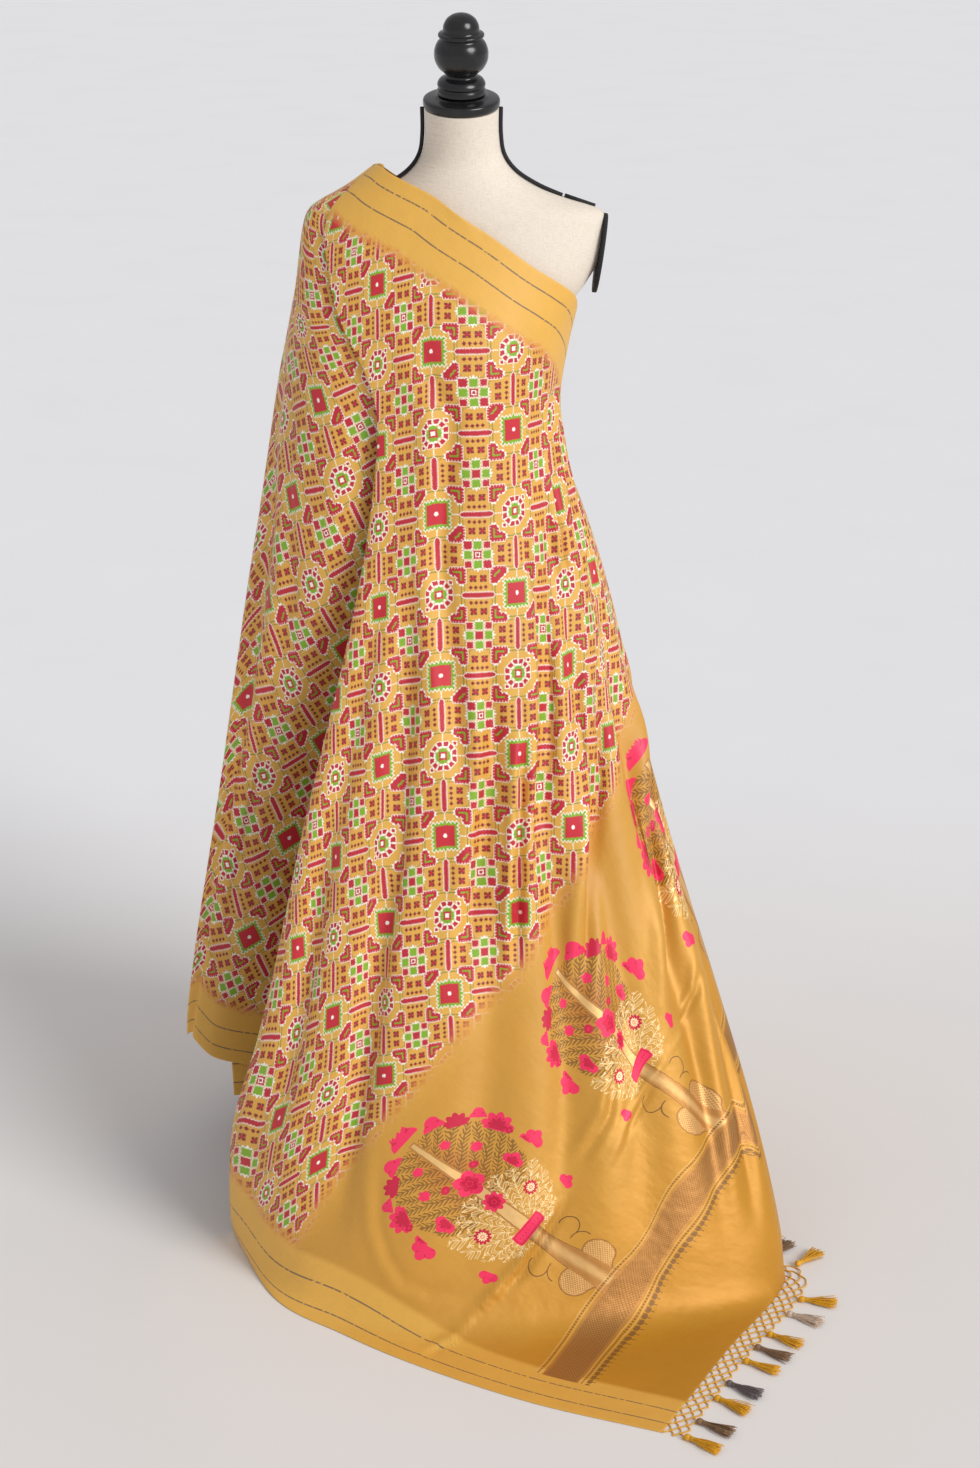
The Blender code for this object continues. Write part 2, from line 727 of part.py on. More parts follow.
def pallu_net(paint):
    """A knotted net along the pallu's end, as a flat strip of open diamonds."""
    cells, place = net_stations()
    row_width = NET_WIDTH / NET_ROWS
    curve = bpy.data.curves.new("net_outline", "CURVE")
    curve.dimensions = "2D"
    curve.fill_mode = "BOTH"
    curve.extrude = NET_THICKNESS / 2.0

    def loop(corners):
        spline = curve.splines.new("POLY")
        spline.points.add(len(corners) - 1)
        spline.use_cyclic_u = True
        for point, corner in zip(spline.points, corners):
            point.co = (corner.x, corner.y, 0.0, 1.0)

    inner = NET_START
    outer = inner + NET_WIDTH
    stations = range(0, 2 * cells + 1, 2)
    loop([place(s, inner) for s in stations] + [place(s, outer) for s in reversed(stations)])
    half_cell = 1.0 - NET_CORD / NET_PITCH
    half_row = row_width / 2.0 - NET_CORD / 2.0
    for row in range(NET_ROWS):
        middle = inner + row_width * (row + 0.5)
        for cell in range(cells - row % 2):
            centre = 2 * cell + 1 + row % 2
            loop([
                place(centre - half_cell, middle), place(centre, middle - half_row),
                place(centre + half_cell, middle), place(centre, middle + half_row),
            ])
    outline = bpy.data.objects.new("net_outline", curve)
    bpy.context.scene.collection.objects.link(outline)
    graph = bpy.context.evaluated_depsgraph_get()
    mesh = bpy.data.meshes.new_from_object(outline.evaluated_get(graph))
    bpy.data.objects.remove(outline, do_unlink=True)
    shape = bmesh.new()
    shape.from_mesh(mesh)
    bmesh.ops.remove_doubles(shape, verts=shape.verts, dist=0.00001)
    lift = Matrix.Translation((0.0, 0.0, NET_THICKNESS / 2.0 + FLOOR_CLEARANCE))
    bmesh.ops.transform(shape, matrix=lift, verts=shape.verts)
    shape.to_mesh(mesh)
    shape.free()
    mesh.name = "pallu_net"
    made = bpy.data.objects.new("pallu_net", mesh)
    made.data.materials.append(paint)
    return made


def tassel(name, seat, out, number, paint):
    """A bound head whose lower facets run out into loose strands."""
    chance = Random(100 + number)
    mesh = bpy.data.meshes.new(name)
    shape = bmesh.new()
    bmesh.ops.create_uvsphere(shape, u_segments=STRANDS, v_segments=3, radius=TASSEL_HEAD_RADIUS)
    low = min(vertex.co.z for vertex in shape.verts)
    roots = [
        face for face in shape.faces
        if any(abs(vertex.co.z - low) < 1e-6 for vertex in face.verts)
    ]
    tips = bmesh.ops.extrude_discrete_faces(shape, faces=roots)["faces"]
    for tip in tips:
        centre = tip.calc_center_median()
        way = Vector((centre.x, centre.y, 0.0)).normalized()
        reach = TASSEL_LENGTH * chance.uniform(0.86, 1.0)
        spread = TASSEL_SPREAD * chance.uniform(0.75, 1.0)
        goal = Vector((way.x * spread, way.y * spread * TASSEL_FLATNESS, -reach))
        for vertex in tip.verts:
            vertex.co = goal + (vertex.co - centre) * STRAND_TAPER
    shape.to_mesh(mesh)
    shape.free()
    made = bpy.data.objects.new(name, mesh)
    swing = math.radians(chance.uniform(-SWING, SWING))
    way_out = Matrix.Rotation(swing, 3, "Z") @ out
    made.location = seat + Vector((0.0, 0.0, TASSEL_LIFT))
    made.rotation_euler = (-way_out).to_track_quat("Z", "Y").to_euler()
    made.data.materials.append(paint)
    return made


def tassels(paint):
    """The tassels lie on the floor, each with its head against the net."""
    count = round(pallu_length() / TASSEL_PITCH)
    cells, place = net_stations()
    made = []
    for number in range(count + 1):
        station = 2 * round(cells * number / count)
        seat = place(station, NET_START + NET_WIDTH + TASSEL_SEAT)
        out = (seat - place(station, 0.0)).normalized()
        made.append(tassel(f"tassel_{number + 1:02d}", seat, out, number, paint))
    return made


def build():
    clear_scene()
    parts = bpy.data.collections.new("sari_on_dress_form")
    cutters = bpy.data.collections.new("cutters")
    bpy.context.scene.collection.children.link(parts)
    bpy.context.scene.collection.children.link(cutters)
    silk = material("printed silk", SILK, 0.55)
    linen = material("form linen", LINEN, 0.85)
    wood = material("black turned wood", BLACK, 0.30)
    cord = material("black piping", BLACK, 0.75)
    thread = material("silk thread", THREAD, 0.45)
    metal = material("stand metal", STEEL, 0.40, 1.0)
    pieces = [
        front_stretch(silk), shoulder_stretch(silk), back_stretch(silk), inner_fold(silk),
        torso(linen, cutters), *arm_plates(cord), *piping(cord), *stand_and_cap(wood, metal),
        pallu_net(thread), *tassels(thread),
    ]
    for piece in pieces:
        parts.objects.link(piece)
    for cutter in cutters.objects:
        cutter.hide_render = True
        cutter.display_type = "WIRE"


build()
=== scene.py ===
"""The looks of a printed silk sari on a dress form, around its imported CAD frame.

Metres, +Z up, front towards -Y. The first group of values repeats the part's
source, so each shell lies on its solid. A place on the drape is given by its
turn in degrees: 0 at the front, 90 at +X, 180 at the back, -90 at -X.
The cloth carries two UV maps. "fabric" holds the distance from the pallu's end
and from the lower selvedge, "edges" the distance from the nearest selvedge and
from the pallu's end, all in metres.
"""
import math
from collections import namedtuple
from random import Random

import bmesh
import bpy
import numpy as np
from mathutils import Matrix, Vector


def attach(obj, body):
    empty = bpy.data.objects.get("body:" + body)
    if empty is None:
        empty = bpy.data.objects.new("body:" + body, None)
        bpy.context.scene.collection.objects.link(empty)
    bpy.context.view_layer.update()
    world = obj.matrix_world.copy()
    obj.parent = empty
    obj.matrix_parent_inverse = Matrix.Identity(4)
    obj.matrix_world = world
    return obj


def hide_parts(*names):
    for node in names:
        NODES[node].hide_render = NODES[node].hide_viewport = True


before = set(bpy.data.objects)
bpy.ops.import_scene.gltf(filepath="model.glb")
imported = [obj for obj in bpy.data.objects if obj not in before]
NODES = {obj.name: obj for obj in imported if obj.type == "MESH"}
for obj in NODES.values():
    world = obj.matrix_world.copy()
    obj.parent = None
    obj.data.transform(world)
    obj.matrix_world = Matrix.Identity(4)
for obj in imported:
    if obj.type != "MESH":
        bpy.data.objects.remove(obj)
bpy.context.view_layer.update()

# The drape and the form, as in the part's source. The places of the hem and of
# the outline were read off the photograph through the camera at the end of the
# values, so they carry the decimals of that conversion.
WALL = 0.0015
FLOOR_CLEARANCE = 0.0002
Section = namedtuple("Section", "height left left_y right right_y front back")
DRAPE = [
    Section(1.400, 0.090, 0.000, 0.090, 0.000, 0.060, 0.066),
    Section(1.385, 0.110, 0.000, 0.110, 0.000, 0.066, 0.073),
    Section(1.360, 0.144, 0.000, 0.144, 0.000, 0.074, 0.082),
    Section(1.335, 0.187, 0.000, 0.187, 0.000, 0.083, 0.091),
    Section(1.318, 0.197, 0.000, 0.192, 0.000, 0.087, 0.094),
    Section(1.280, 0.204, 0.000, 0.190, 0.000, 0.100, 0.099),
    Section(1.240, 0.210, 0.000, 0.166, 0.000, 0.118, 0.103),
    Section(1.210, 0.216, 0.000, 0.147, 0.000, 0.133, 0.105),
    Section(1.170, 0.223, 0.000, 0.136, 0.000, 0.147, 0.106),
    Section(1.120, 0.232, 0.000, 0.127, -0.005, 0.153, 0.106),
    Section(1.070, 0.240, -0.005, 0.121, -0.010, 0.158, 0.108),
    Section(1.010, 0.250, -0.010, 0.133, -0.015, 0.166, 0.114),
    Section(0.950, 0.261, -0.010, 0.157, -0.030, 0.176, 0.124),
    Section(0.850, 0.280, -0.015, 0.191, -0.050, 0.199, 0.145),
    Section(0.700, 0.306, -0.020, 0.228, -0.080, 0.240, 0.180),
    Section(0.500, 0.341, -0.030, 0.284, -0.130, 0.300, 0.226),
    Section(0.300, 0.376, -0.030, 0.350, -0.200, 0.364, 0.272),
    Section(0.200, 0.389, -0.030, 0.383, -0.245, 0.398, 0.292),
    Section(0.120, 0.380, -0.030, 0.404, -0.285, 0.424, 0.308),
    Section(0.050, 0.370, -0.030, 0.417, -0.318, 0.450, 0.320),
    Section(0.000, 0.360, -0.030, 0.420, -0.330, 0.470, 0.330),
]
RIDGE_POWER = 1.1
RIDGE_TOP = 0.55

Rim = namedtuple("Rim", "turn height")
RIM = [
    Rim(-90, 1.387), Rim(-60, 1.385), Rim(-15, 1.360), Rim(7, 1.320),
    Rim(26, 1.278), Rim(41, 1.256), Rim(63, 1.230), Rim(80, 1.207),
    Rim(95, 1.182), Rim(110, 1.200), Rim(135, 1.262), Rim(155, 1.300),
    Rim(180, 1.335), Rim(205, 1.352), Rim(235, 1.376), Rim(270, 1.387),
]
RIM_SEARCH = (1.10, 1.399)
RIM_SEARCH_STEPS = 24

Edge = namedtuple("Edge", "height fold selvedge")
FRONT_EDGES = [
    Edge(1.400, -88, 92), Edge(1.385, -82, 92), Edge(1.300, -58, 93),
    Edge(1.220, -47, 94), Edge(1.177, -36, 95), Edge(1.113, -26, 98),
    Edge(1.000, -27, 104), Edge(0.838, -31, 112), Edge(0.700, -36, 119),
    Edge(0.580, -40, 125), Edge(0.300, -47, 140), Edge(0.150, -55, 149),
    Edge(0.000, -62, 158),
]
CORNER_SHARE = 0.409
Hem = namedtuple("Hem", "share x y")
FRONT_HEM = [
    Hem(0.000, -0.309, -0.220), Hem(0.080, -0.243, -0.382),
    Hem(0.170, -0.150, -0.467), Hem(0.250, -0.050, -0.540),
    Hem(0.330, 0.085, -0.617), Hem(CORNER_SHARE, 0.239, -0.679),
]
PALLU_END = [
    Hem(CORNER_SHARE, 0.239, -0.679), Hem(0.530, 0.328, -0.508),
    Hem(0.660, 0.419, -0.340), Hem(0.705, 0.377, -0.302),
    Hem(0.755, 0.324, -0.222), Hem(0.795, 0.287, -0.148),
    Hem(0.895, 0.175, 0.062), Hem(1.000, 0.064, 0.258),
]
Hang = namedtuple("Hang", "turn height")
SIDE_HEM = [
    Hang(90, 0.050), Hang(152, 0.050), Hang(168, 0.006), Hang(185, 0.010),
    Hang(200, 0.045), Hang(215, 0.090), Hang(240, 0.145), Hang(262, 0.188),
    Hang(272, 0.205), Hang(285, 0.196), Hang(297, 0.168), Hang(312, 0.145),
    Hang(330, 0.138),
]
Fold = namedtuple("Fold", "top_share low_share start depth half_width")
FRONT_FOLDS = [
    Fold(0.060, 0.045, 1.05, 0.010, 0.022),
    Fold(0.110, 0.150, 1.00, 0.015, 0.026),
    Fold(0.300, 0.270, 0.85, 0.010, 0.026),
    Fold(0.440, 0.350, 1.08, 0.016, 0.024),
    Fold(0.560, 0.430, 1.08, 0.014, 0.028),
    Fold(0.700, 0.530, 0.98, 0.018, 0.030),
    Fold(0.800, 0.680, 0.90, 0.014, 0.026),
    Fold(0.880, 0.800, 1.02, 0.020, 0.030),
]
SHOULDER_FOLDS = [
    Fold(0.420, 0.400, 1.24, 0.014, 0.075),
    Fold(0.640, 0.630, 1.10, 0.018, 0.080),
    Fold(0.850, 0.840, 1.26, 0.016, 0.065),
]
BACK_FOLDS = [
    Fold(0.130, 0.150, 1.15, 0.018, 0.060),
    Fold(0.330, 0.340, 1.05, 0.022, 0.065),
    Fold(0.540, 0.520, 1.18, 0.018, 0.055),
    Fold(0.720, 0.700, 1.00, 0.022, 0.060),
]
FOLD_RUN_IN = 0.45
FOLD_FADE = 0.26
PLEAT_DEPTH = 0.032
PLEAT_SPREAD = 22
PLEAT_TOP = 1.19
PLEAT_LOW = 0.97
PLEAT_LAP = 7
LAP_TOP = 1.12
LAP_LOW = 0.95
SEAM_LAP = 2
SEAM_INSET = WALL + 0.0068
ROLL_RADIUS = 0.012
ROLL_SHARE = 0.05
ROLL_TOP = 1.10
ROLL_LOW = 0.92
FLAT_SHARE = 0.93
FLAT_TOP = 1.05
FLAT_LOW = 0.50
BACK_SEAM = 215
UNDERLAP = 12
UNDERLAP_TOP = 1.20
UNDERLAP_LOW = 1.10
UNDERLAP_INSET = 0.006
UNDERLAP_TURNS = (5.0, 20.0)
INNER_SEAM = 0.0050
INNER_INSET = 0.016
INNER_OPEN = 0.34
INNER_TOP = 0.460
INNER_HEM = 0.108
INNER_SHARE = 3 / 18

Ring = namedtuple("Ring", "height half_width front back centre_y tilt")
NECK_TILT = math.radians(10)
TORSO = [
    Ring(0.740, 0.130, 0.085, 0.095, 0.0, 0.0),
    Ring(0.760, 0.150, 0.100, 0.112, 0.0, 0.0),
    Ring(0.820, 0.154, 0.108, 0.114, 0.0, 0.0),
    Ring(0.900, 0.134, 0.100, 0.100, 0.0, 0.0),
    Ring(0.980, 0.104, 0.088, 0.084, 0.0, 0.0),
    Ring(1.040, 0.100, 0.092, 0.084, 0.0, 0.0),
    Ring(1.110, 0.108, 0.122, 0.090, 0.0, 0.0),
    Ring(1.170, 0.122, 0.134, 0.094, 0.0, 0.0),
    Ring(1.210, 0.134, 0.122, 0.094, 0.0, 0.0),
    Ring(1.240, 0.156, 0.104, 0.092, 0.0, 0.0),
    Ring(1.280, 0.178, 0.086, 0.088, 0.0, 0.0),
    Ring(1.318, 0.180, 0.070, 0.076, 0.0, 0.0),
    Ring(1.332, 0.170, 0.064, 0.070, 0.0, 0.0),
    Ring(1.345, 0.128, 0.059, 0.065, 0.0, 0.0),
    Ring(1.358, 0.094, 0.055, 0.060, 0.0, 0.0),
    Ring(1.376, 0.066, 0.051, 0.056, 0.0, 0.2),
    Ring(1.398, 0.050, 0.046, 0.049, -0.001, 0.6),
    Ring(1.425, 0.0455, 0.0445, 0.0455, -0.004, 1.0),
    Ring(1.457, 0.0455, 0.0455, 0.0455, -0.009, 1.0),
]
ARM_PLATE_CENTRE = Vector((0.1700, 0.0, 1.276))
ARM_PLATE_TILT = math.radians(-8)
ARM_PLATE_HEIGHT = 0.050
ARM_PLATE_DEPTH = 0.038
ARM_PLATE_THICKNESS = 0.0055
PLATE_GAP = 0.0003
PIPING_RADIUS = 0.0018
PIPING_CLEARANCE = 0.0012
PIPING_LOW_END = 1.333
PIPING_END_STEP = 0.004
CAP_PROFILE = [
    (0.0, 0.0155), (0.030, 0.0155), (0.0325, 0.0135), (0.0455, 0.0120),
    (0.0475, 0.0095), (0.0475, 0.0030), (0.0450, 0.0), (0.0, 0.0),
]
FINIAL_PROFILE = [
    (0.0, 0.1000), (0.010, 0.0985), (0.018, 0.0930), (0.0220, 0.0850),
    (0.0225, 0.0770), (0.0280, 0.0755), (0.0285, 0.0720), (0.0240, 0.0700),
    (0.0300, 0.0640), (0.0335, 0.0540), (0.0330, 0.0430), (0.0280, 0.0330),
    (0.0200, 0.0270), (0.0195, 0.0230), (0.0260, 0.0200), (0.0290, 0.0160),
    (0.0300, 0.0120), (0.0280, 0.0100), (0.0300, 0.0060), (0.0300, 0.0),
    (0.0, 0.0),
]
PALLU_STEPS = 200
NET_START = 0.0018
NET_WIDTH = 0.028
NET_ROWS = 2
NET_PITCH = 0.0180
TASSEL_SEAT = 0.0036
TASSEL_PITCH = 0.043
TASSEL_LENGTH = 0.045
TASSEL_HEAD_RADIUS = 0.0060
TASSEL_FLATNESS = 0.35
TASSEL_LIFT = 0.0066
SWING = 15
STRANDS = 8

# How finely the cloth is modelled
LINE_STEPS = 240
FINE_STEPS = 360
SOFTENING = 90
FRONT_COLUMNS = (124, 164)
FRONT_ROWS = 320
FALL_COLUMNS = 120
BACK_COLUMNS = 150
SIDE_ROWS = 230
HEM_TURN = 0.0006
FOLD_TURN = 0.0016
TURN_STEPS = 5
TURN_BACK = 0.006
CREASE_TAPER = 0.3
RIDGE_PLACE = 1.9
RIDGE_WIDTH = 1.1
HEM_READ_HEIGHT = 0.15
TABLE_ROWS = 140
TABLE_TURNS = (-120.0, 180.0)
INNER_COLUMNS = 24
INNER_ROWS = 70
INNER_U = (1.0, 0.93)

# The cloth's own sizes, and its printed lattice, in cells of the cloth
WIDTH = 1.17
CELL = 0.10
DIAGONAL = CELL * math.sqrt(0.5)
LATTICE_V = 1.025
LATTICE_U = 1.29
FIRST_NODE_HEIGHT = 1.182
FLOOR_ZONE_TOP = 0.45
SLOPE_ROWS = 10
# At the hem, v and u fall at least this fast down a line, so the print isn't stretched.
HEM_SLOPE = -0.85
HEM_SLOPE_U = -0.35
SLOPE_SMOOTHING = 15
FOLD_U = 0.85
# The front's right selvedge is turned under by this much above those heights, and
# the fall's selvedge lies this far beyond its left edge.
SIDE_TURNED = 0.055
SIDE_TURNED_FROM = (0.30, 0.60)
FALL_SELVEDGE = 0.045
FALL_U = 1.3607
FALL_MIDDLE = 0.337
FALL_PULL = 1.09
FALL_RISE = 0.92
OPEN_CLOTH = 3.0
PALLU_MATERIAL_END = 0.645

# How far u is shifted near the copper band, at each v, where the cloth is pulled.
# The shifts were read off the photograph through the camera.
BAND_U = 0.175
BAND_REACH = 0.075
BAND_V = (0.0, 0.09, 0.23, 0.30, 0.39, 0.48, 0.56, 0.61, 0.75, 0.9)
BAND_SHIFT = (0.008, 0.010, -0.006, -0.017, -0.008, 0.0, 0.026, 0.042, 0.044, 0.030)

# Where the lattice's columns lie across the front: arcs from the middle line,
# fitted to the print's nodes in the photograph.
Column = namedtuple("Column", "cell arc_high arc_low shift")
LATTICE_COLUMNS = [
    Column(-6.0, -0.392, -0.392, 1.40), Column(-3.0, -0.224, -0.224, 0.68),
    Column(-2.0, -0.168, -0.168, 0.42), Column(-1.0, -0.105, -0.105, 0.20),
    Column(0.0, -0.038, -0.016, 0.0), Column(1.0, 0.067, 0.076, 0.0),
    Column(2.0, 0.143, 0.143, 0.0), Column(2.4, 0.177, 0.177, 0.0),
    Column(3.0, 0.205, 0.205, 0.0), Column(11.5, 0.705, 0.705, 0.0),
]
COLUMN_HEIGHTS = (1.18, 0.40)

# Creases laid over the main folds, each through places given as the share of the
# way across the piece and of the way down its hang line. Most of the front's were
# picked on the photograph and converted through the camera.
Crease = namedtuple("Crease", "places depth half_width ridge")
FRONT_CREASES = [
    Crease([(0.104, 0.344), (0.142, 0.456), (0.163, 0.584), (0.153, 0.669), (0.160, 0.844), (0.163, 0.931)],
           0.0109, 0.0145, 0.5),
    Crease([(0.580, 0.206), (0.455, 0.378), (0.382, 0.553)], 0.0126, 0.0110, 0.6),
    Crease([(0.395, 0.400), (0.375, 0.459), (0.351, 0.562), (0.335, 0.640)], 0.0155, 0.0068, 0.6),
    Crease([(0.950, 0.060), (0.920, 0.109), (0.812, 0.197), (0.660, 0.309)], 0.0106, 0.0068, 0.6),
    Crease([(0.740, 0.080), (0.691, 0.147), (0.622, 0.228), (0.576, 0.316)], 0.0097, 0.0059, 0.6),
    Crease([(0.850, 0.060), (0.800, 0.130), (0.730, 0.220)], 0.0068, 0.0051, 0.7),
    Crease([(0.640, 0.330), (0.569, 0.434), (0.503, 0.509), (0.451, 0.578), (0.410, 0.650)],
           0.0136, 0.0102, 0.6),
    Crease([(0.900, 0.330), (0.816, 0.397), (0.670, 0.559), (0.562, 0.712)], 0.0165, 0.0119, 0.7),
    Crease([(0.700, 0.640), (0.639, 0.697), (0.493, 0.719), (0.410, 0.778)], 0.0039, 0.0043, 0.8),
    Crease([(0.400, 0.770), (0.375, 0.809), (0.344, 0.866), (0.274, 0.972), (0.257, 0.999)],
           0.0081, 0.0051, 0.9),
    Crease([(0.190, 0.820), (0.197, 0.860), (0.206, 0.895), (0.219, 0.917), (0.237, 0.927), (0.262, 0.925),
            (0.295, 0.910), (0.330, 0.888)], 0.0020, 0.0080, 0.8),
    Crease([(0.470, 0.670), (0.438, 0.706), (0.396, 0.762)], 0.0059, 0.0068, 0.6),
    Crease([(0.220, 0.100), (0.191, 0.219), (0.177, 0.334), (0.226, 0.444), (0.267, 0.556)],
           0.0088, 0.0136, 0.5),
    Crease([(0.302, 0.356), (0.316, 0.466), (0.281, 0.591), (0.247, 0.694)], 0.0106, 0.0119, 0.5),
    Crease([(0.900, 0.560), (0.860, 0.700), (0.800, 0.860)], 0.0076, 0.0119, 0.5),
    Crease([(0.960, 0.300), (0.950, 0.500), (0.900, 0.700)], 0.0039, 0.0093, 0.5),
    Crease([(0.040, 0.550), (0.060, 0.750), (0.080, 0.900)], 0.0039, 0.0119, 0.5),
    Crease([(0.760, 0.560), (0.700, 0.700), (0.640, 0.830), (0.600, 0.930)], 0.0116, 0.0153, 0.6),
]
FALL_CREASES = [
    Crease([(0.20, 0.12), (0.24, 0.40), (0.22, 0.72)], 0.0040, 0.014, 0.5),
    Crease([(0.34, 0.22), (0.36, 0.55), (0.35, 0.95)], 0.0050, 0.012, 0.5),
    Crease([(0.55, 0.08), (0.56, 0.40), (0.58, 0.80)], 0.0050, 0.014, 0.5),
    Crease([(0.74, 0.15), (0.75, 0.45), (0.73, 0.98)], 0.0050, 0.013, 0.5),
]
BACK_CREASES = [
    Crease([(0.08, 0.20), (0.09, 0.50), (0.11, 0.90)], 0.0045, 0.013, 0.5),
    Crease([(0.22, 0.10), (0.24, 0.35), (0.22, 0.75)], 0.0050, 0.012, 0.5),
    Crease([(0.43, 0.25), (0.44, 0.60), (0.42, 0.97)], 0.0050, 0.014, 0.5),
    Crease([(0.62, 0.06), (0.63, 0.40), (0.61, 0.70)], 0.0045, 0.011, 0.6),
    Crease([(0.82, 0.08), (0.83, 0.30), (0.80, 0.62)], 0.0040, 0.010, 0.6),
]

# The print and the bands, in millimetres of cloth. A tooth is half its own pitch,
# which goes 26 times into a cell.
TOOTH = 100.0 / 52.0
BORDER_FADE = (70.0, 80.0)
STRIPE_PLACES = (19.0, 48.0)
STRIPE_HALF = 0.95
BAND_MIDDLE = 186.0
BAND_HALF = 28.0
BAND_TRIMS = (152.0, 221.0)
BAND_LEAVES = 142.0
BAND_STALKS = 136.5

# Where the print fades in, in metres from the selvedge and from the pallu's end
FADE_BESIDE = (0.074, 0.092)
FADE_BEFORE = (0.655, 0.690)

# The form, the cords and the threads, finer or fuller than their solids
TORSO_SIDES = 144
TORSO_LEVELS = 170
ARM_FLAT_FROM = 1.16
TURNED_SIDES = 96
PLATE_SIDES = 96
PLATE_RIM = 0.0016
PLATE_RIM_STEPS = 6
PLATE_FACE = ((0.55, 1.0), (0.92, 0.97))
CORD_SEAM_RADIUS = 0.0026
CORD_SEAM_SIDES = 16
SEAM_END_LEVELS = (1.331, 1.346)
CORD_RADIUS = 0.00080
CORD_HEIGHT = 0.0011
CORD_BOW = 0.16
CORD_CROSSING = 0.0005
KNOT_RADIUS = 0.0014
KNOT_STRETCH = (1.25, 0.9, 0.8, 1.0)
NET_LEVELS = 2 * NET_ROWS
NET_TUCK = 0.002
NET_DRIFT = 0.22
NET_SHIFT = 0.12
TASSEL_SPREAD = 0.0135
THREADS = 90
THREAD_RADIUS = 0.00045
BINDING_TURNS = 5
BINDING_PITCH = 0.0007


def srgb(red, green, blue):
    """A colour as a screen shows it, as the linear values that a shader takes."""
    shares = (red / 255, green / 255, blue / 255)
    return tuple(s / 12.92 if s <= 0.04045 else ((s + 0.055) / 1.055) ** 2.4 for s in shares)


GOLD = srgb(226, 174, 78)
BORDER_GOLD = srgb(230, 176, 78)
PLAQUE_TAN = srgb(226, 170, 76)
PALLU_GOLD = srgb(208, 152, 60)
# The pallu's deeper gold towards its end: partly its own colour, partly painted shade
PALLU_SHADE = srgb(196, 136, 30)
CRIMSON = srgb(202, 42, 56)
PRINT_RED = srgb(194, 38, 54)
GREEN = srgb(132, 176, 38)
CREAM = srgb(252, 248, 236)
MAROON = srgb(142, 44, 46)
FADE_ORANGE = srgb(218, 118, 62)
OLIVE = srgb(140, 138, 66)
STRIPE = srgb(104, 88, 80)
PINK = srgb(244, 50, 96)
DEEP_PINK = srgb(204, 30, 66)
FERN_SHADE = srgb(190, 116, 44)
LEAF_PALE = srgb(255, 228, 172)
COPPER = srgb(184, 128, 64)
COPPER_DARK = srgb(124, 84, 38)
COPPER_LIGHT = srgb(238, 194, 126)
LINEN = srgb(236, 224, 208)
LINEN_DARK = srgb(206, 190, 170)
BLACK = srgb(22, 22, 24)
THREAD_GOLD = srgb(232, 172, 30)
THREAD_SILVER = srgb(216, 192, 170)
THREAD_BROWN = srgb(150, 116, 84)
THREAD_GREY = srgb(116, 106, 104)
STEEL = srgb(150, 150, 152)

# The bouquet: each flower's place in millimetres towards the pallu's end and out
# from the stem, the way it faces in degrees, and how it is drawn. A whole flower
# has petals all round, a cup has them only on the side that it faces.
Flower = namedtuple("Flower", "along across radius petals faces cup colour centre")
BOUQUET_FLOWERS = [
    Flower(-126, 0, 24, 3, 180, True, PINK, PINK),
    Flower(-104, 38, 17, 3, 160, True, PINK, PINK),
    Flower(-82, 60, 18, 9, 145, True, DEEP_PINK, PINK),
    Flower(-68, 86, 13, 3, 128, True, PINK, PINK),
    Flower(-70, 26, 8, 5, 0, False, PINK, PINK),
    Flower(-36, 90, 24, 9, 118, True, PINK, DEEP_PINK),
    Flower(-20, 98, 6, 4, 110, False, DEEP_PINK, DEEP_PINK),
    Flower(-35, 49, 9, 6, 0, False, PINK, PINK),
    Flower(-18, 26, 7, 2, 60, False, DEEP_PINK, DEEP_PINK),
    Flower(19, 64, 17, 5, 100, True, PINK, DEEP_PINK),
    Flower(8, 104, 11, 4, 96, True, PINK, DEEP_PINK),
    Flower(20, 110, 20, 5, 88, True, PINK, PINK),
    Flower(0, 0, 22, 5, 0, False, PINK, DEEP_PINK),
    Flower(46, 0, 17, 8, 0, False, PINK, DEEP_PINK),
    Flower(72, 52, 13, 12, 0, False, DEEP_PINK, LEAF_PALE),
    Flower(120, 92, 15, 5, 75, True, PINK, PINK),
]
BOUQUET_OUT = 504.0
BOUQUET_PITCH = 330.0
BOUQUET_ALONG = 265.0
TIE_PLACE = 118.0
STEM_FAN = math.radians(8)
SPRIG_STEP = 7.0
LEAF_STEP = 12.0

# The studio's paper, its camera, which the photograph was read with, and its light
FLOOR_PAPER = srgb(234, 230, 227)
WALL_PAPER = srgb(241, 240, 241)
PAPER_SHADE = srgb(205, 204, 206)
FLOOR_CHANGE = (0.1, 1.6)
FLOOR_HALF = 60.0
CAMERA_PLACE = (0.035, -3.5, 1.94)
CAMERA_PITCH = math.radians(69.5)
CAMERA_LENS = 68.66
SUN_FROM = (2.2, -2.0, 1.7)
SUN_STRENGTH = 2.1
SUN_SPREAD = math.radians(30)
WORLD_COLOUR = (0.97, 0.975, 1.0)
WORLD_STRENGTH = 0.54


def smooth(low, high, value):
    """0 below low and 1 above high, with a soft start and end."""
    share = np.clip((value - low) / (high - low), 0.0, 1.0)
    return share * share * (3.0 - 2.0 * share)


def opened(height, top, low):
    """0 above top and 1 below low."""
    return 1.0 - smooth(low, top, height)


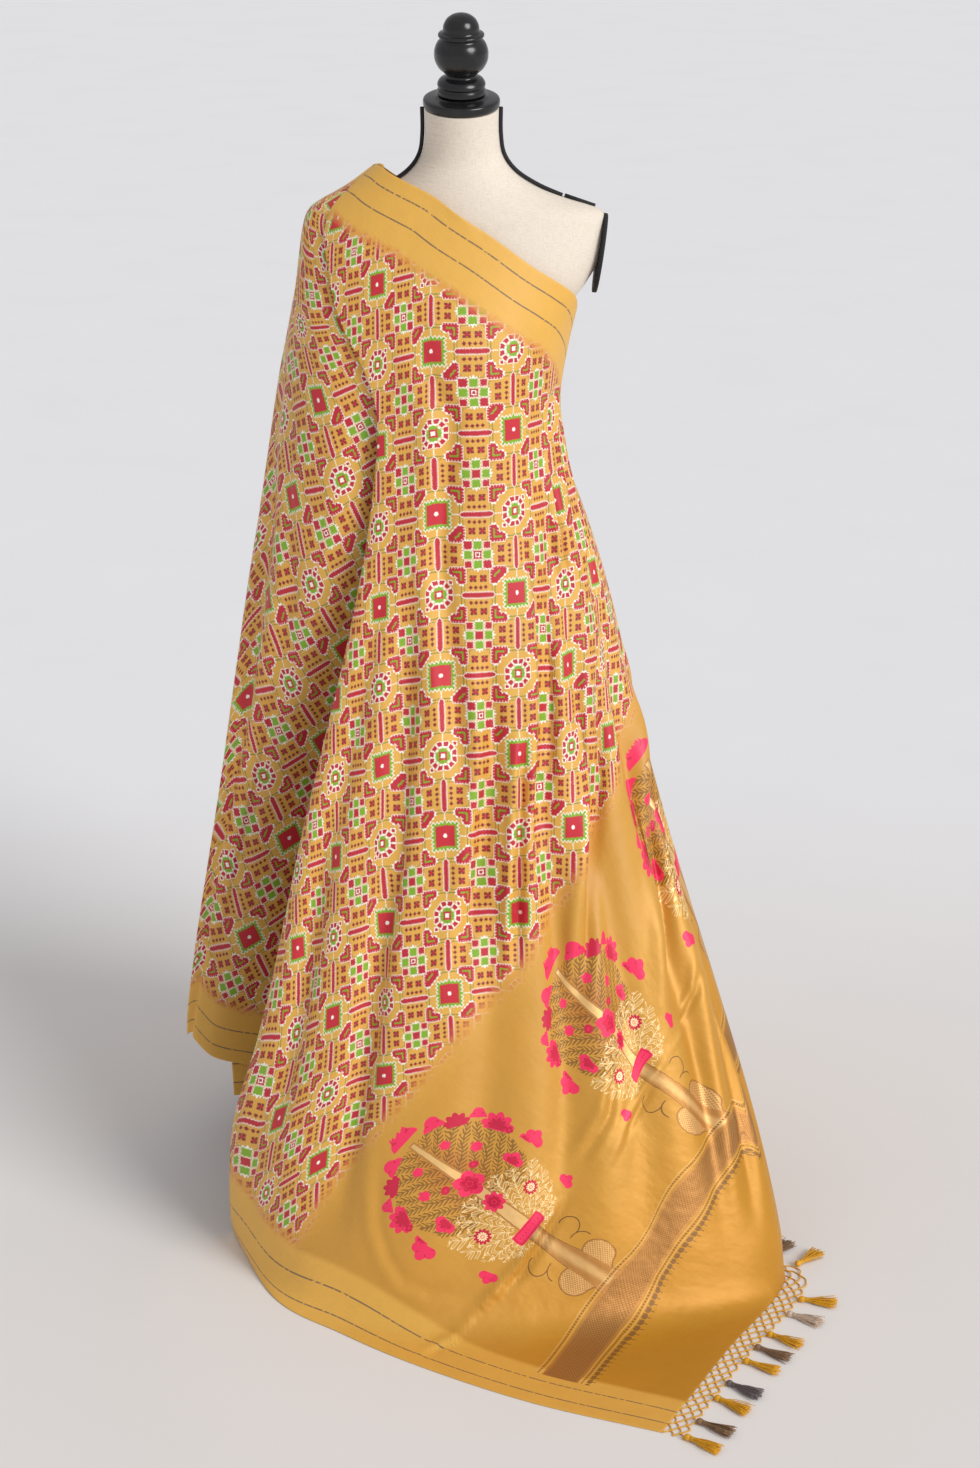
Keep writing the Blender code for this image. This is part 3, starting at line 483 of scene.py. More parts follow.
def read_rows(rows, at):
    """Every column of a table, read at its first column on a smooth curve."""
    table = np.array(sorted(rows), float)
    keys = table[:, 0]
    at = np.clip(np.asarray(at, float), keys[0], keys[-1])
    index = np.clip(np.searchsorted(keys, at, side="right") - 1, 0, len(keys) - 2)
    order = np.arange(len(keys))
    before = np.maximum(order - 1, 0)
    after = np.minimum(order + 1, len(keys) - 1)
    slopes = (table[after] - table[before]) / (keys[after] - keys[before])[:, None]
    span = np.asarray(keys[index + 1] - keys[index])[..., None]
    share = np.asarray(at - keys[index])[..., None] / span
    values = (
        table[index] * (1 + 2 * share) * (1 - share) ** 2
        + slopes[index] * span * share * (1 - share) ** 2
        + table[index + 1] * share ** 2 * (3 - 2 * share)
        + slopes[index + 1] * span * share ** 2 * (share - 1)
    )
    return type(rows[0])(*np.moveaxis(values, -1, 0))


def section_points(height, turn, inset=0.0, flat=0.0):
    """Points of the drape's outline, moved in by inset towards the middle."""
    height, turn, inset, flat = np.broadcast_arrays(height, turn, inset, flat)
    row = read_rows(DRAPE, height)
    across = np.sin(np.radians(turn))
    ahead = np.cos(np.radians(turn))
    right = across > 0
    front = ahead > 0
    reach = np.where(right, row.right, row.left)
    middle = np.where(right, row.right_y, row.left_y)
    depth = np.where(front, row.front + middle, row.back - middle)
    depth = np.where(front & (across < 0), depth * (1.0 - flat), depth)
    power = RIDGE_POWER + (2.0 - RIDGE_POWER) * smooth(0.0, RIDGE_TOP, height)
    ridge = right & (ahead < 0)
    across = np.where(ridge, np.abs(across) ** (2.0 / power), across)
    ahead = np.where(ridge, -(np.abs(ahead) ** (2.0 / power)), ahead)
    return np.stack([
        (reach - inset) * across, middle - (depth - inset) * ahead, height + 0.0 * turn,
    ], axis=-1)


def fold_depth(folds, share, height):
    """How far the folds press in, by share across the piece and by height."""
    total = np.zeros(np.broadcast(share, height).shape)
    for fold in folds:
        fall = np.maximum(0.0, 1.0 - height / fold.start)
        centre = fold.top_share + (fold.low_share - fold.top_share) * fall
        away = (share - centre) / fold.half_width
        total = total + fold.depth * np.exp(-away * away) * smooth(0.0, FOLD_RUN_IN, fall)
    return total * smooth(0.0, FOLD_FADE, height)


def rim_height(turn_at, lines):
    """The height at which each hang line meets the top edge."""
    low = np.full(lines, RIM_SEARCH[0])
    high = np.full(lines, RIM_SEARCH[1])
    for _ in range(RIM_SEARCH_STEPS):
        middle = 0.5 * (low + high)
        above = middle > read_rows(RIM, turn_at(middle)).height
        high = np.where(above, middle, high)
        low = np.where(above, low, middle)
    return low


def lengths_along(lines):
    """The way along each line to each of its points."""
    steps = np.linalg.norm(np.diff(lines[..., :3], axis=1), axis=2)
    start = np.zeros((len(lines), 1))
    return np.concatenate([start, np.cumsum(steps, axis=1)], axis=1)


def resample(lines, count):
    """The same lines with their points an equal way apart."""
    lengths = lengths_along(lines)
    placed = np.empty((len(lines), count + 1, lines.shape[2]))
    for index, line in enumerate(lines):
        wanted = np.linspace(0.0, lengths[index, -1], count + 1)
        for channel in range(lines.shape[2]):
            placed[index, :, channel] = np.interp(wanted, lengths[index], line[:, channel])
    return placed


def soften(lines, rounds):
    """Round the bend where the hanging cloth meets the floor."""
    for _ in range(rounds):
        lines[:, 1:-1] = (lines[:, :-2] + 2.0 * lines[:, 1:-1] + lines[:, 2:]) / 4.0
    return lines


def front_hem(shares):
    """Where the front's hem and the pallu's end lie on the floor."""
    hem = read_rows(FRONT_HEM, shares)
    end = read_rows(PALLU_END, shares)
    before_corner = shares <= CORNER_SHARE
    return np.where(before_corner, hem.x, end.x), np.where(before_corner, hem.y, end.y)


def front_lines(shares):
    """The front's hang lines: x, y, z and the turn at each point."""
    def turn_at(height):
        row = read_rows(FRONT_EDGES, height)
        share = shares if np.ndim(height) == 1 else shares[:, None]
        return row.fold + share * (row.selvedge - row.fold)

    top = rim_height(turn_at, len(shares))
    foot = WALL + FLOOR_CLEARANCE
    steps = np.linspace(0.0, 1.0, LINE_STEPS + 1)
    height = top[:, None] + (foot - top[:, None]) * steps
    turn = turn_at(height)
    inset = fold_depth(FRONT_FOLDS, shares[:, None], height)
    away = np.clip(1.0 - shares / ROLL_SHARE, 0.0, 1.0)[:, None]
    roll = ROLL_RADIUS * (1.0 - np.sqrt(1.0 - away * away))
    inset = inset + roll * opened(height, ROLL_TOP, ROLL_LOW)
    lines = np.concatenate([section_points(height, turn, inset), turn[..., None]], axis=2)
    x, y = front_hem(shares)
    hem = np.stack([x, y, np.full(len(shares), foot), turn[:, -1]], axis=1)
    lines = np.concatenate([lines, hem[:, None]], axis=1)
    return resample(soften(resample(lines, FINE_STEPS), SOFTENING), FRONT_ROWS)


def fall_flatness(height):
    """How far the fall is pressed flat, more towards its foot."""
    return FLAT_SHARE * opened(height, FLAT_TOP, FLAT_LOW)


def side_lines(shares, start_turn, end_turn, folds, inset_at):
    """The hang lines of the shoulder fall or the back, with the turn at each point."""
    def turn_at(height):
        share = shares if np.ndim(height) == 1 else shares[:, None]
        return start_turn(height) + share * (end_turn(height) - start_turn(height))

    top = rim_height(turn_at, len(shares))
    low = read_rows(SIDE_HEM, turn_at(np.full(len(shares), HEM_READ_HEIGHT)) % 360).height
    steps = np.linspace(0.0, 1.0, LINE_STEPS + 1)
    height = top[:, None] + (low - top)[:, None] * steps
    turn = turn_at(height)
    inset = fold_depth(folds, shares[:, None], height) + inset_at(height, turn)
    points = section_points(height, turn, inset, fall_flatness(height))
    return resample(np.concatenate([points, turn[..., None]], axis=2), SIDE_ROWS)


def shoulder_start(height):
    """The turn at which the fall starts, just under the front's fold."""
    fold = read_rows(FRONT_EDGES, height).fold
    return 360 + fold + SEAM_LAP + PLEAT_LAP * opened(height, LAP_TOP, LAP_LOW)


def back_seam(height):
    """The turn at which the fall ends and the back starts."""
    return BACK_SEAM + 0.0 * height


def shoulder_inset(height, turn):
    """How far the fall is drawn in behind the front's fold."""
    away = (shoulder_start(height) - turn) / PLEAT_SPREAD
    depth = SEAM_INSET + PLEAT_DEPTH * opened(height, PLEAT_TOP, PLEAT_LOW)
    return depth * (1.0 - smooth(0.0, 1.0, away))


def back_end(height):
    """The turn at which the back ends, under the front's selvedge."""
    selvedge = read_rows(FRONT_EDGES, height).selvedge
    return selvedge - UNDERLAP * opened(height, UNDERLAP_TOP, UNDERLAP_LOW)


def back_inset(height, turn):
    """How far the back is drawn in where it goes under the front."""
    row = read_rows(FRONT_EDGES, height)
    share = (turn - row.fold) / (row.selvedge - row.fold)
    under = 1.0 - smooth(*UNDERLAP_TURNS, turn - row.selvedge)
    return UNDERLAP_INSET * under + fold_depth(FRONT_FOLDS, share, height)


def grid_normals(grid):
    """The way out at each point of a grid whose columns run to the viewer's right."""
    across = np.gradient(grid[..., :3], axis=0)
    down = np.gradient(grid[..., :3], axis=1)
    normal = np.cross(down, across)
    return normal / np.maximum(1e-12, np.linalg.norm(normal, axis=2, keepdims=True))


def grid_place(grid, share, down):
    """The grid's nearest point to a share across and a share down."""
    columns, rows = grid.shape[:2]
    return grid[round(share * (columns - 1)), round(down * (rows - 1)), :3]


def crease(grid, creases):
    """Press soft troughs into the cloth, each with a low ridge beside it."""
    normals = grid_normals(grid)
    push = np.zeros(grid.shape[:2])
    for item in creases:
        path = np.array([grid_place(grid, *place) for place in item.places])
        spans = np.linalg.norm(np.diff(path, axis=0), axis=1)
        starts = np.concatenate([[0.0], np.cumsum(spans)])
        best = np.full(grid.shape[:2], np.inf)
        along = np.zeros(grid.shape[:2])
        side = np.zeros(grid.shape[:2])
        for index, span in enumerate(spans):
            way = (path[index + 1] - path[index]) / span
            offset = grid[..., :3] - path[index]
            reach = np.clip(offset @ way, 0.0, span)
            rest = offset - reach[..., None] * way
            away = np.linalg.norm(rest, axis=2)
            nearer = away < best
            best = np.where(nearer, away, best)
            along = np.where(nearer, (starts[index] + reach) / starts[-1], along)
            turned_to = np.einsum("ijk,ijk->ij", np.cross(way, normals), rest)
            side = np.where(nearer, np.sign(turned_to) * away, side)
        taper = smooth(0.0, CREASE_TAPER, along) * smooth(0.0, CREASE_TAPER, 1.0 - along)
        trough = np.exp(-(side / item.half_width) ** 2)
        beside = side - RIDGE_PLACE * item.half_width
        ridge = np.exp(-(beside / (RIDGE_WIDTH * item.half_width)) ** 2)
        push += item.depth * taper * (item.ridge * ridge - trough)
    grid[..., :3] += normals * push[..., None]
    return grid


def lattice_tables():
    """Arcs along the smooth sections, and down the front's middle line."""
    heights = np.linspace(0.0, DRAPE[0].height, TABLE_ROWS + 1)
    turns = np.arange(TABLE_TURNS[0], TABLE_TURNS[1] + 1.0)
    points = section_points(heights[:, None], turns[None, :])
    steps = np.linalg.norm(np.diff(points, axis=1), axis=2)
    arcs = np.concatenate([np.zeros((len(heights), 1)), np.cumsum(steps, axis=1)], axis=1)
    arcs -= arcs[:, list(turns).index(0.0)][:, None]
    front = read_rows(DRAPE, heights).front
    slopes = np.hypot(np.diff(front), np.diff(heights))
    down = np.concatenate([[0.0], np.cumsum(slopes)])
    return heights, turns, arcs, down


HEIGHTS, TURNS, ARCS, MIDDLE_LINE = lattice_tables()


def section_arc(height, turn):
    """The way along the smooth section from the middle of the front."""
    row = np.clip(height / HEIGHTS[1], 0, len(HEIGHTS) - 1.001)
    column = np.clip(turn - TURNS[0], 0, len(TURNS) - 1.001)
    r = row.astype(int)
    c = column.astype(int)
    rs = row - r
    cs = column - c
    low = ARCS[r, c] * (1 - cs) + ARCS[r, c + 1] * cs
    high = ARCS[r + 1, c] * (1 - cs) + ARCS[r + 1, c + 1] * cs
    return low * (1 - rs) + high * rs


def lattice_place(height, turn):
    """The lattice's column and row at a place on the upper front, as numbers."""
    arc = section_arc(height, turn)
    cells = [column.cell for column in LATTICE_COLUMNS]
    high = np.interp(arc, [column.arc_high for column in LATTICE_COLUMNS], cells)
    low = np.interp(arc, [column.arc_low for column in LATTICE_COLUMNS], cells)
    share = np.clip((COLUMN_HEIGHTS[0] - height) / (COLUMN_HEIGHTS[0] - COLUMN_HEIGHTS[1]), 0, 1)
    column = high * (1 - share) + low * share
    down = np.interp(FIRST_NODE_HEIGHT, HEIGHTS, MIDDLE_LINE) - np.interp(height, HEIGHTS, MIDDLE_LINE)
    shift = np.interp(column, cells, [column.shift for column in LATTICE_COLUMNS])
    return column, down / CELL - shift


def edge_distance(grid, edge):
    """How far each point lies from the nearest point of an edge of the grid."""
    flat = grid[..., :3].reshape(-1, 3)
    nearest = np.full(len(flat), np.inf)
    for point in edge[::2, :3]:
        nearest = np.minimum(nearest, np.linalg.norm(flat - point, axis=1))
    return nearest.reshape(grid.shape[:2])


def hem_places(grid, shares):
    """Where u and v end on the hem, and how fast each changes down a line there."""
    x, y = front_hem(shares)
    line = np.stack([x, y], axis=-1)
    corner = np.searchsorted(shares, CORNER_SHARE - 1e-6)
    steps = np.linalg.norm(np.diff(line, axis=0), axis=1)
    hem = np.concatenate([[0.0], np.cumsum(steps)])
    way = np.gradient(line, axis=0)
    way[corner] = line[corner] - line[corner - 1]
    way /= np.linalg.norm(way, axis=1, keepdims=True)
    out = np.stack([way[:, 1], -way[:, 0]], axis=-1)
    falling = grid[:, -1, :2] - grid[:, -SLOPE_ROWS, :2]
    falling /= np.linalg.norm(falling, axis=1, keepdims=True)
    along = np.einsum("ij,ij->i", falling, way)
    outward = np.einsum("ij,ij->i", falling, out)
    low = np.arange(len(shares)) <= corner
    bottom = FOLD_U / hem[corner]
    side = WIDTH / (hem[-1] - hem[corner])
    end_u = np.where(low, FOLD_U - hem * bottom, 0.0)
    end_v = np.where(low, 0.0, (hem - hem[corner]) * side)
    slope_u = np.where(low, np.minimum(-along * bottom, HEM_SLOPE_U), -outward)
    slope_v = np.where(low, np.minimum(-outward, HEM_SLOPE), along * side)
    return (end_u, slope_u), (end_v, slope_v)


def smoothed(values):
    """A running average along the hem."""
    kernel = np.hanning(SLOPE_SMOOTHING + 2)[1:-1]
    padded = np.pad(values, SLOPE_SMOOTHING // 2, mode="edge")
    return np.convolve(padded, kernel / kernel.sum(), mode="valid")


def front_fabric(grid, shares):
    """The fabric coordinates u, v of each point of the front stretch."""
    height = grid[..., 2]
    column, row = lattice_place(height, grid[..., 3])
    u = LATTICE_U - DIAGONAL * (column + row)
    v = LATTICE_V + DIAGONAL * (column - row)
    lengths = lengths_along(grid)
    firsts = np.argmax(height < FLOOR_ZONE_TOP, axis=1)
    lines = np.arange(len(grid))
    above = firsts - SLOPE_ROWS
    run = lengths[lines, firsts] - lengths[lines, above]
    reach = lengths[:, -1] - lengths[lines, firsts]
    for values, (end, end_slope) in zip((u, v), hem_places(grid, shares)):
        slopes = smoothed((values[lines, firsts] - values[lines, above]) / run)
        end_slopes = smoothed(end_slope)
        for line, first in enumerate(firsts):
            t = (lengths[line, first:] - lengths[line, first]) / reach[line]
            start = values[line, first]
            values[line, first:] = (
                start * (1 + 2 * t) * (1 - t) ** 2
                + slopes[line] * reach[line] * t * (1 - t) ** 2
                + end[line] * t ** 2 * (3 - 2 * t)
                + end_slopes[line] * reach[line] * t ** 2 * (t - 1)
            )
    near_band = np.exp(-((u - BAND_U) / BAND_REACH) ** 2)
    u += near_band * np.interp(v, BAND_V, BAND_SHIFT)
    return u, v


def turned_edge(points, inward, inner, radius):
    """Rows that roll a cloth's edge under: a half turn and a short way back."""
    rows = []
    for step in range(1, TURN_STEPS):
        angle = math.pi * step / (TURN_STEPS - 1)
        out = -inward * radius * math.sin(angle)
        rows.append(points + out + inner * radius * (1.0 - math.cos(angle)))
    rows.append(points + inward * TURN_BACK + inner * 2.0 * radius)
    return rows


def with_turned_edges(grid, radii):
    """The grid with its left, right, top and low edges turned under."""
    for (axis, end), radius in zip(((0, 0), (0, -1), (1, 0), (1, -1)), radii):
        if not radius:
            continue
        normals = -grid_normals(grid)
        edge = np.take(grid, end, axis=axis)
        inside = np.take(grid, 2 if end == 0 else -3, axis=axis)
        inner = np.take(normals, end, axis=axis)
        inward = inside[:, :3] - edge[:, :3]
        inward /= np.maximum(1e-9, np.linalg.norm(inward, axis=1, keepdims=True))
        rows = []
        for points in turned_edge(edge[:, :3], inward, inner, radius):
            rows.append(np.concatenate([points, edge[:, 3:]], axis=1))
        added = np.stack(rows[::-1] if end == 0 else rows, axis=axis)
        grid = np.concatenate([added, grid] if end == 0 else [grid, added], axis=axis)
    return grid


def add_object(name, data):
    """A new object in the scene."""
    made = bpy.data.objects.new(name, data)
    bpy.context.scene.collection.objects.link(made)
    return made


def cloth_mesh(name, grid, materials):
    """A cloth shell from a grid of x, y, z, u, v, edge and end distances."""
    columns, rows = grid.shape[:2]
    index = np.arange(columns * rows).reshape(columns, rows)
    faces = np.stack([index[:-1, :-1], index[:-1, 1:], index[1:, 1:], index[1:, :-1]], axis=-1)
    faces = faces.reshape(-1, 4)
    mesh = bpy.data.meshes.new(name)
    mesh.from_pydata(grid[..., :3].reshape(-1, 3).tolist(), [], faces.tolist())
    values = grid[..., 3:].reshape(-1, 4)
    corners = faces.reshape(-1)
    for layer, columns_of in (("fabric", (0, 1)), ("edges", (2, 3))):
        uv = mesh.uv_layers.new(name=layer)
        uv.data.foreach_set("uv", values[corners][:, columns_of].reshape(-1))
    mesh.shade_smooth()
    for item in materials:
        mesh.materials.append(item)
    if len(materials) > 1:
        middle = values[faces].mean(axis=1)
        mesh.polygons.foreach_set("material_index", (middle[:, 0] < PALLU_MATERIAL_END).astype(int))
    return add_object(name, mesh)


def make_cloth(name, points, fabric, creases, radii, materials):
    """A creased cloth with turned edges, from its places and its fabric values."""
    grid = np.concatenate([points[..., :3], np.stack(fabric, axis=-1)], axis=2)
    grid = with_turned_edges(crease(grid, creases), radii)
    grid[..., 2] = np.maximum(grid[..., 2], FLOOR_CLEARANCE)
    return cloth_mesh(name, grid, materials)


def cloth_area(made):
    """The area of a cloth's surface as built, with its turned edges."""
    return sum(polygon.area for polygon in made.data.polygons)


def build_front(materials):
    """The stretch across the front, with the pallu, which runs out on the floor."""
    first = np.linspace(0.0, CORNER_SHARE, FRONT_COLUMNS[0] + 1)
    second = np.linspace(CORNER_SHARE, 1.0, FRONT_COLUMNS[1] + 1)[1:]
    shares = np.concatenate([first, second])
    lines = front_lines(shares)
    u, v = front_fabric(lines, shares)
    turned = SIDE_TURNED * smooth(*SIDE_TURNED_FROM, lines[..., 2])
    side = edge_distance(lines, lines[-1]) + turned
    edge = np.minimum(v, np.minimum(edge_distance(lines, lines[:, 0]), side))
    radii = (FOLD_TURN, HEM_TURN, HEM_TURN, HEM_TURN)
    return make_cloth("front_silk", lines, (u, v, edge, u), FRONT_CREASES, radii, materials)


def arcs_across(lines):
    """How far each point lies along its own row of the grid."""
    return lengths_along(lines.swapaxes(0, 1)).swapaxes(0, 1)


def build_fall(materials):
    """The stretch at the viewer's left, whose lower selvedge hangs aslant."""
    shares = np.linspace(0.0, 1.0, FALL_COLUMNS + 1)
    lines = side_lines(shares, shoulder_start, back_seam, SHOULDER_FOLDS, shoulder_inset)[::-1]
    lengths = lengths_along(lines)
    from_hem = lengths[:, -1:] - lengths
    u = FALL_U + (FALL_MIDDLE - arcs_across(lines)) * FALL_PULL
    v = from_hem * FALL_RISE
    far = np.full(v.shape, OPEN_CLOTH)
    beyond = FALL_SELVEDGE * smooth(0.0, 0.6, 1.0 - shares)[::-1, None]
    edge = np.minimum(from_hem, edge_distance(lines, lines[:, 0]) + beyond)
    radii = (0.0, FOLD_TURN, HEM_TURN, HEM_TURN)
    return make_cloth("shoulder_silk", lines, (u, v, edge, far), FALL_CREASES, radii, materials)


def build_back(materials):
    """The stretch round the back, with the fall's lattice carried on."""
    shares = np.linspace(0.0, 1.0, BACK_COLUMNS + 1)
    lines = side_lines(shares, back_seam, back_end, BACK_FOLDS, back_inset)[::-1]
    lengths = lengths_along(lines)
    from_hem = lengths[:, -1:] - lengths
    across = arcs_across(lines)
    u = FALL_U + (FALL_MIDDLE + across[-1:] - across) * FALL_PULL
    v = from_hem * FALL_RISE
    far = np.full(v.shape, OPEN_CLOTH)
    edge = np.minimum(from_hem, edge_distance(lines, lines[:, 0]))
    radii = (HEM_TURN, 0.0, HEM_TURN, HEM_TURN)
    return make_cloth("back_silk", lines, (u, v, edge, far), BACK_CREASES, radii, materials)


def build_inner_fold(materials):
    """The inner layer of the deep pleat, whose hem shows below the fall."""
    shares = np.linspace(0.0, INNER_SHARE, INNER_COLUMNS)[::-1, None]
    height = np.linspace(INNER_TOP, INNER_HEM, INNER_ROWS)[None, :]
    start = shoulder_start(height)
    turn = start + shares * (BACK_SEAM - start)
    inset = shoulder_inset(height, turn) + fold_depth(SHOULDER_FOLDS, shares, height)
    inset = inset + INNER_SEAM + (INNER_INSET - INNER_SEAM) * opened(height, INNER_TOP, INNER_OPEN)
    points = section_points(height, turn, inset, fall_flatness(height))
    from_hem = height - INNER_HEM + 0.0 * turn
    u = np.linspace(*INNER_U, INNER_COLUMNS)[:, None] + 0.0 * turn
    far = np.full(u.shape, OPEN_CLOTH)
    radii = (HEM_TURN, 0.0, 0.0, HEM_TURN)
    return make_cloth("inner_silk", points, (u, from_hem, from_hem, far), [], radii, materials)


class Value:
    """A number in a material's node tree, so that a pattern reads as arithmetic."""

    def __init__(self, tree, socket):
        self.tree = tree
        self.socket = socket

    def math(self, operation, *others):
        node = self.tree.nodes.new("ShaderNodeMath")
        node.operation = operation
        for place, item in enumerate((self, *others)):
            if isinstance(item, Value):
                self.tree.links.new(item.socket, node.inputs[place])
            else:
                node.inputs[place].default_value = item
        return Value(self.tree, node.outputs[0])

    def __add__(self, other):
        return self.math("ADD", other)

    __radd__ = __add__

    def __sub__(self, other):
        return self.math("SUBTRACT", other)

    def __rsub__(self, other):
        return self * -1.0 + other

    def __mul__(self, other):
        return self.math("MULTIPLY", other)

    __rmul__ = __mul__

    def __truediv__(self, other):
        return self.math("DIVIDE", other)

    def __abs__(self):
        return self.math("ABSOLUTE")

    def __lt__(self, other):
        return self.math("LESS_THAN", other)

    def __gt__(self, other):
        return self.math("GREATER_THAN", other)

    def below(self, other):
        return self.math("MINIMUM", other)

    def above(self, other):
        return self.math("MAXIMUM", other)

    def floor(self):
        return self.math("FLOOR")

    def fract(self):
        return self.math("FRACT")

    def odd(self):
        """1 where a whole number is odd, 0 where it is even."""
        return self.math("PINGPONG", 1.0)

    def mirrored(self, half):
        """The way to the nearest whole number of repeats, each twice half long."""
        return self.math("PINGPONG", half)

    def ramp(self, low, high):
        """0 at low and 1 at high, with a soft start and end."""
        node = self.tree.nodes.new("ShaderNodeMapRange")
        node.interpolation_type = "SMOOTHSTEP"
        self.tree.links.new(self.socket, node.inputs["Value"])
        node.inputs["From Min"].default_value = low
        node.inputs["From Max"].default_value = high
        return Value(self.tree, node.outputs["Result"])


def distance(across, along):
    """The distance from a point, by the way to it in two directions."""
    return (across * across + along * along).math("SQRT")


def noise(tree, u, v, scale_u, scale_v, detail=2.0):
    """Noise over the cloth, with its own scale each way."""
    place = tree.nodes.new("ShaderNodeCombineXYZ")
    tree.links.new((u * scale_u).socket, place.inputs[0])
    tree.links.new((v * scale_v).socket, place.inputs[1])
    node = tree.nodes.new("ShaderNodeTexNoise")
    node.noise_dimensions = "2D"
    node.inputs["Scale"].default_value = 1.0
    node.inputs["Detail"].default_value = detail
    tree.links.new(place.outputs[0], node.inputs["Vector"])
    return Value(tree, node.outputs[0])


class Paint:
    """A colour in a material's node tree, with others laid over it."""

    def __init__(self, tree, colour):
        self.tree = tree
        self.colour = colour

    def over(self, colour, mask):
        """The same with another colour laid over it, as far as the mask says."""
        node = self.tree.nodes.new("ShaderNodeMix")
        node.data_type = "RGBA"
        for place, item in ((6, self.colour), (7, colour)):
            if isinstance(item, Paint):
                item = item.colour
            if isinstance(item, tuple):
                node.inputs[place].default_value = (*item, 1.0)
            else:
                self.tree.links.new(item, node.inputs[place])
        if isinstance(mask, Value):
            self.tree.links.new(mask.socket, node.inputs[0])
        else:
            node.inputs[0].default_value = mask
        return Paint(self.tree, node.outputs[2])

    def shape(self, colour, depth, outline=None, width=1.3):
        """A shape where depth is below 0, with an outline of that width."""
        if outline is None:
            return self.over(colour, depth < 0.0)
        return self.over(outline, depth < width).over(colour, depth < 0.0)


def cloth_values(tree):
    """The cloth's two UV maps as values in metres: u, v, edge and end."""
    values = []
    for name in ("fabric", "edges"):
        uv_map = tree.nodes.new("ShaderNodeUVMap")
        uv_map.uv_map = name
        split = tree.nodes.new("ShaderNodeSeparateXYZ")
        tree.links.new(uv_map.outputs[0], split.inputs[0])
        values += [Value(tree, split.outputs[0]), Value(tree, split.outputs[1])]
    return values


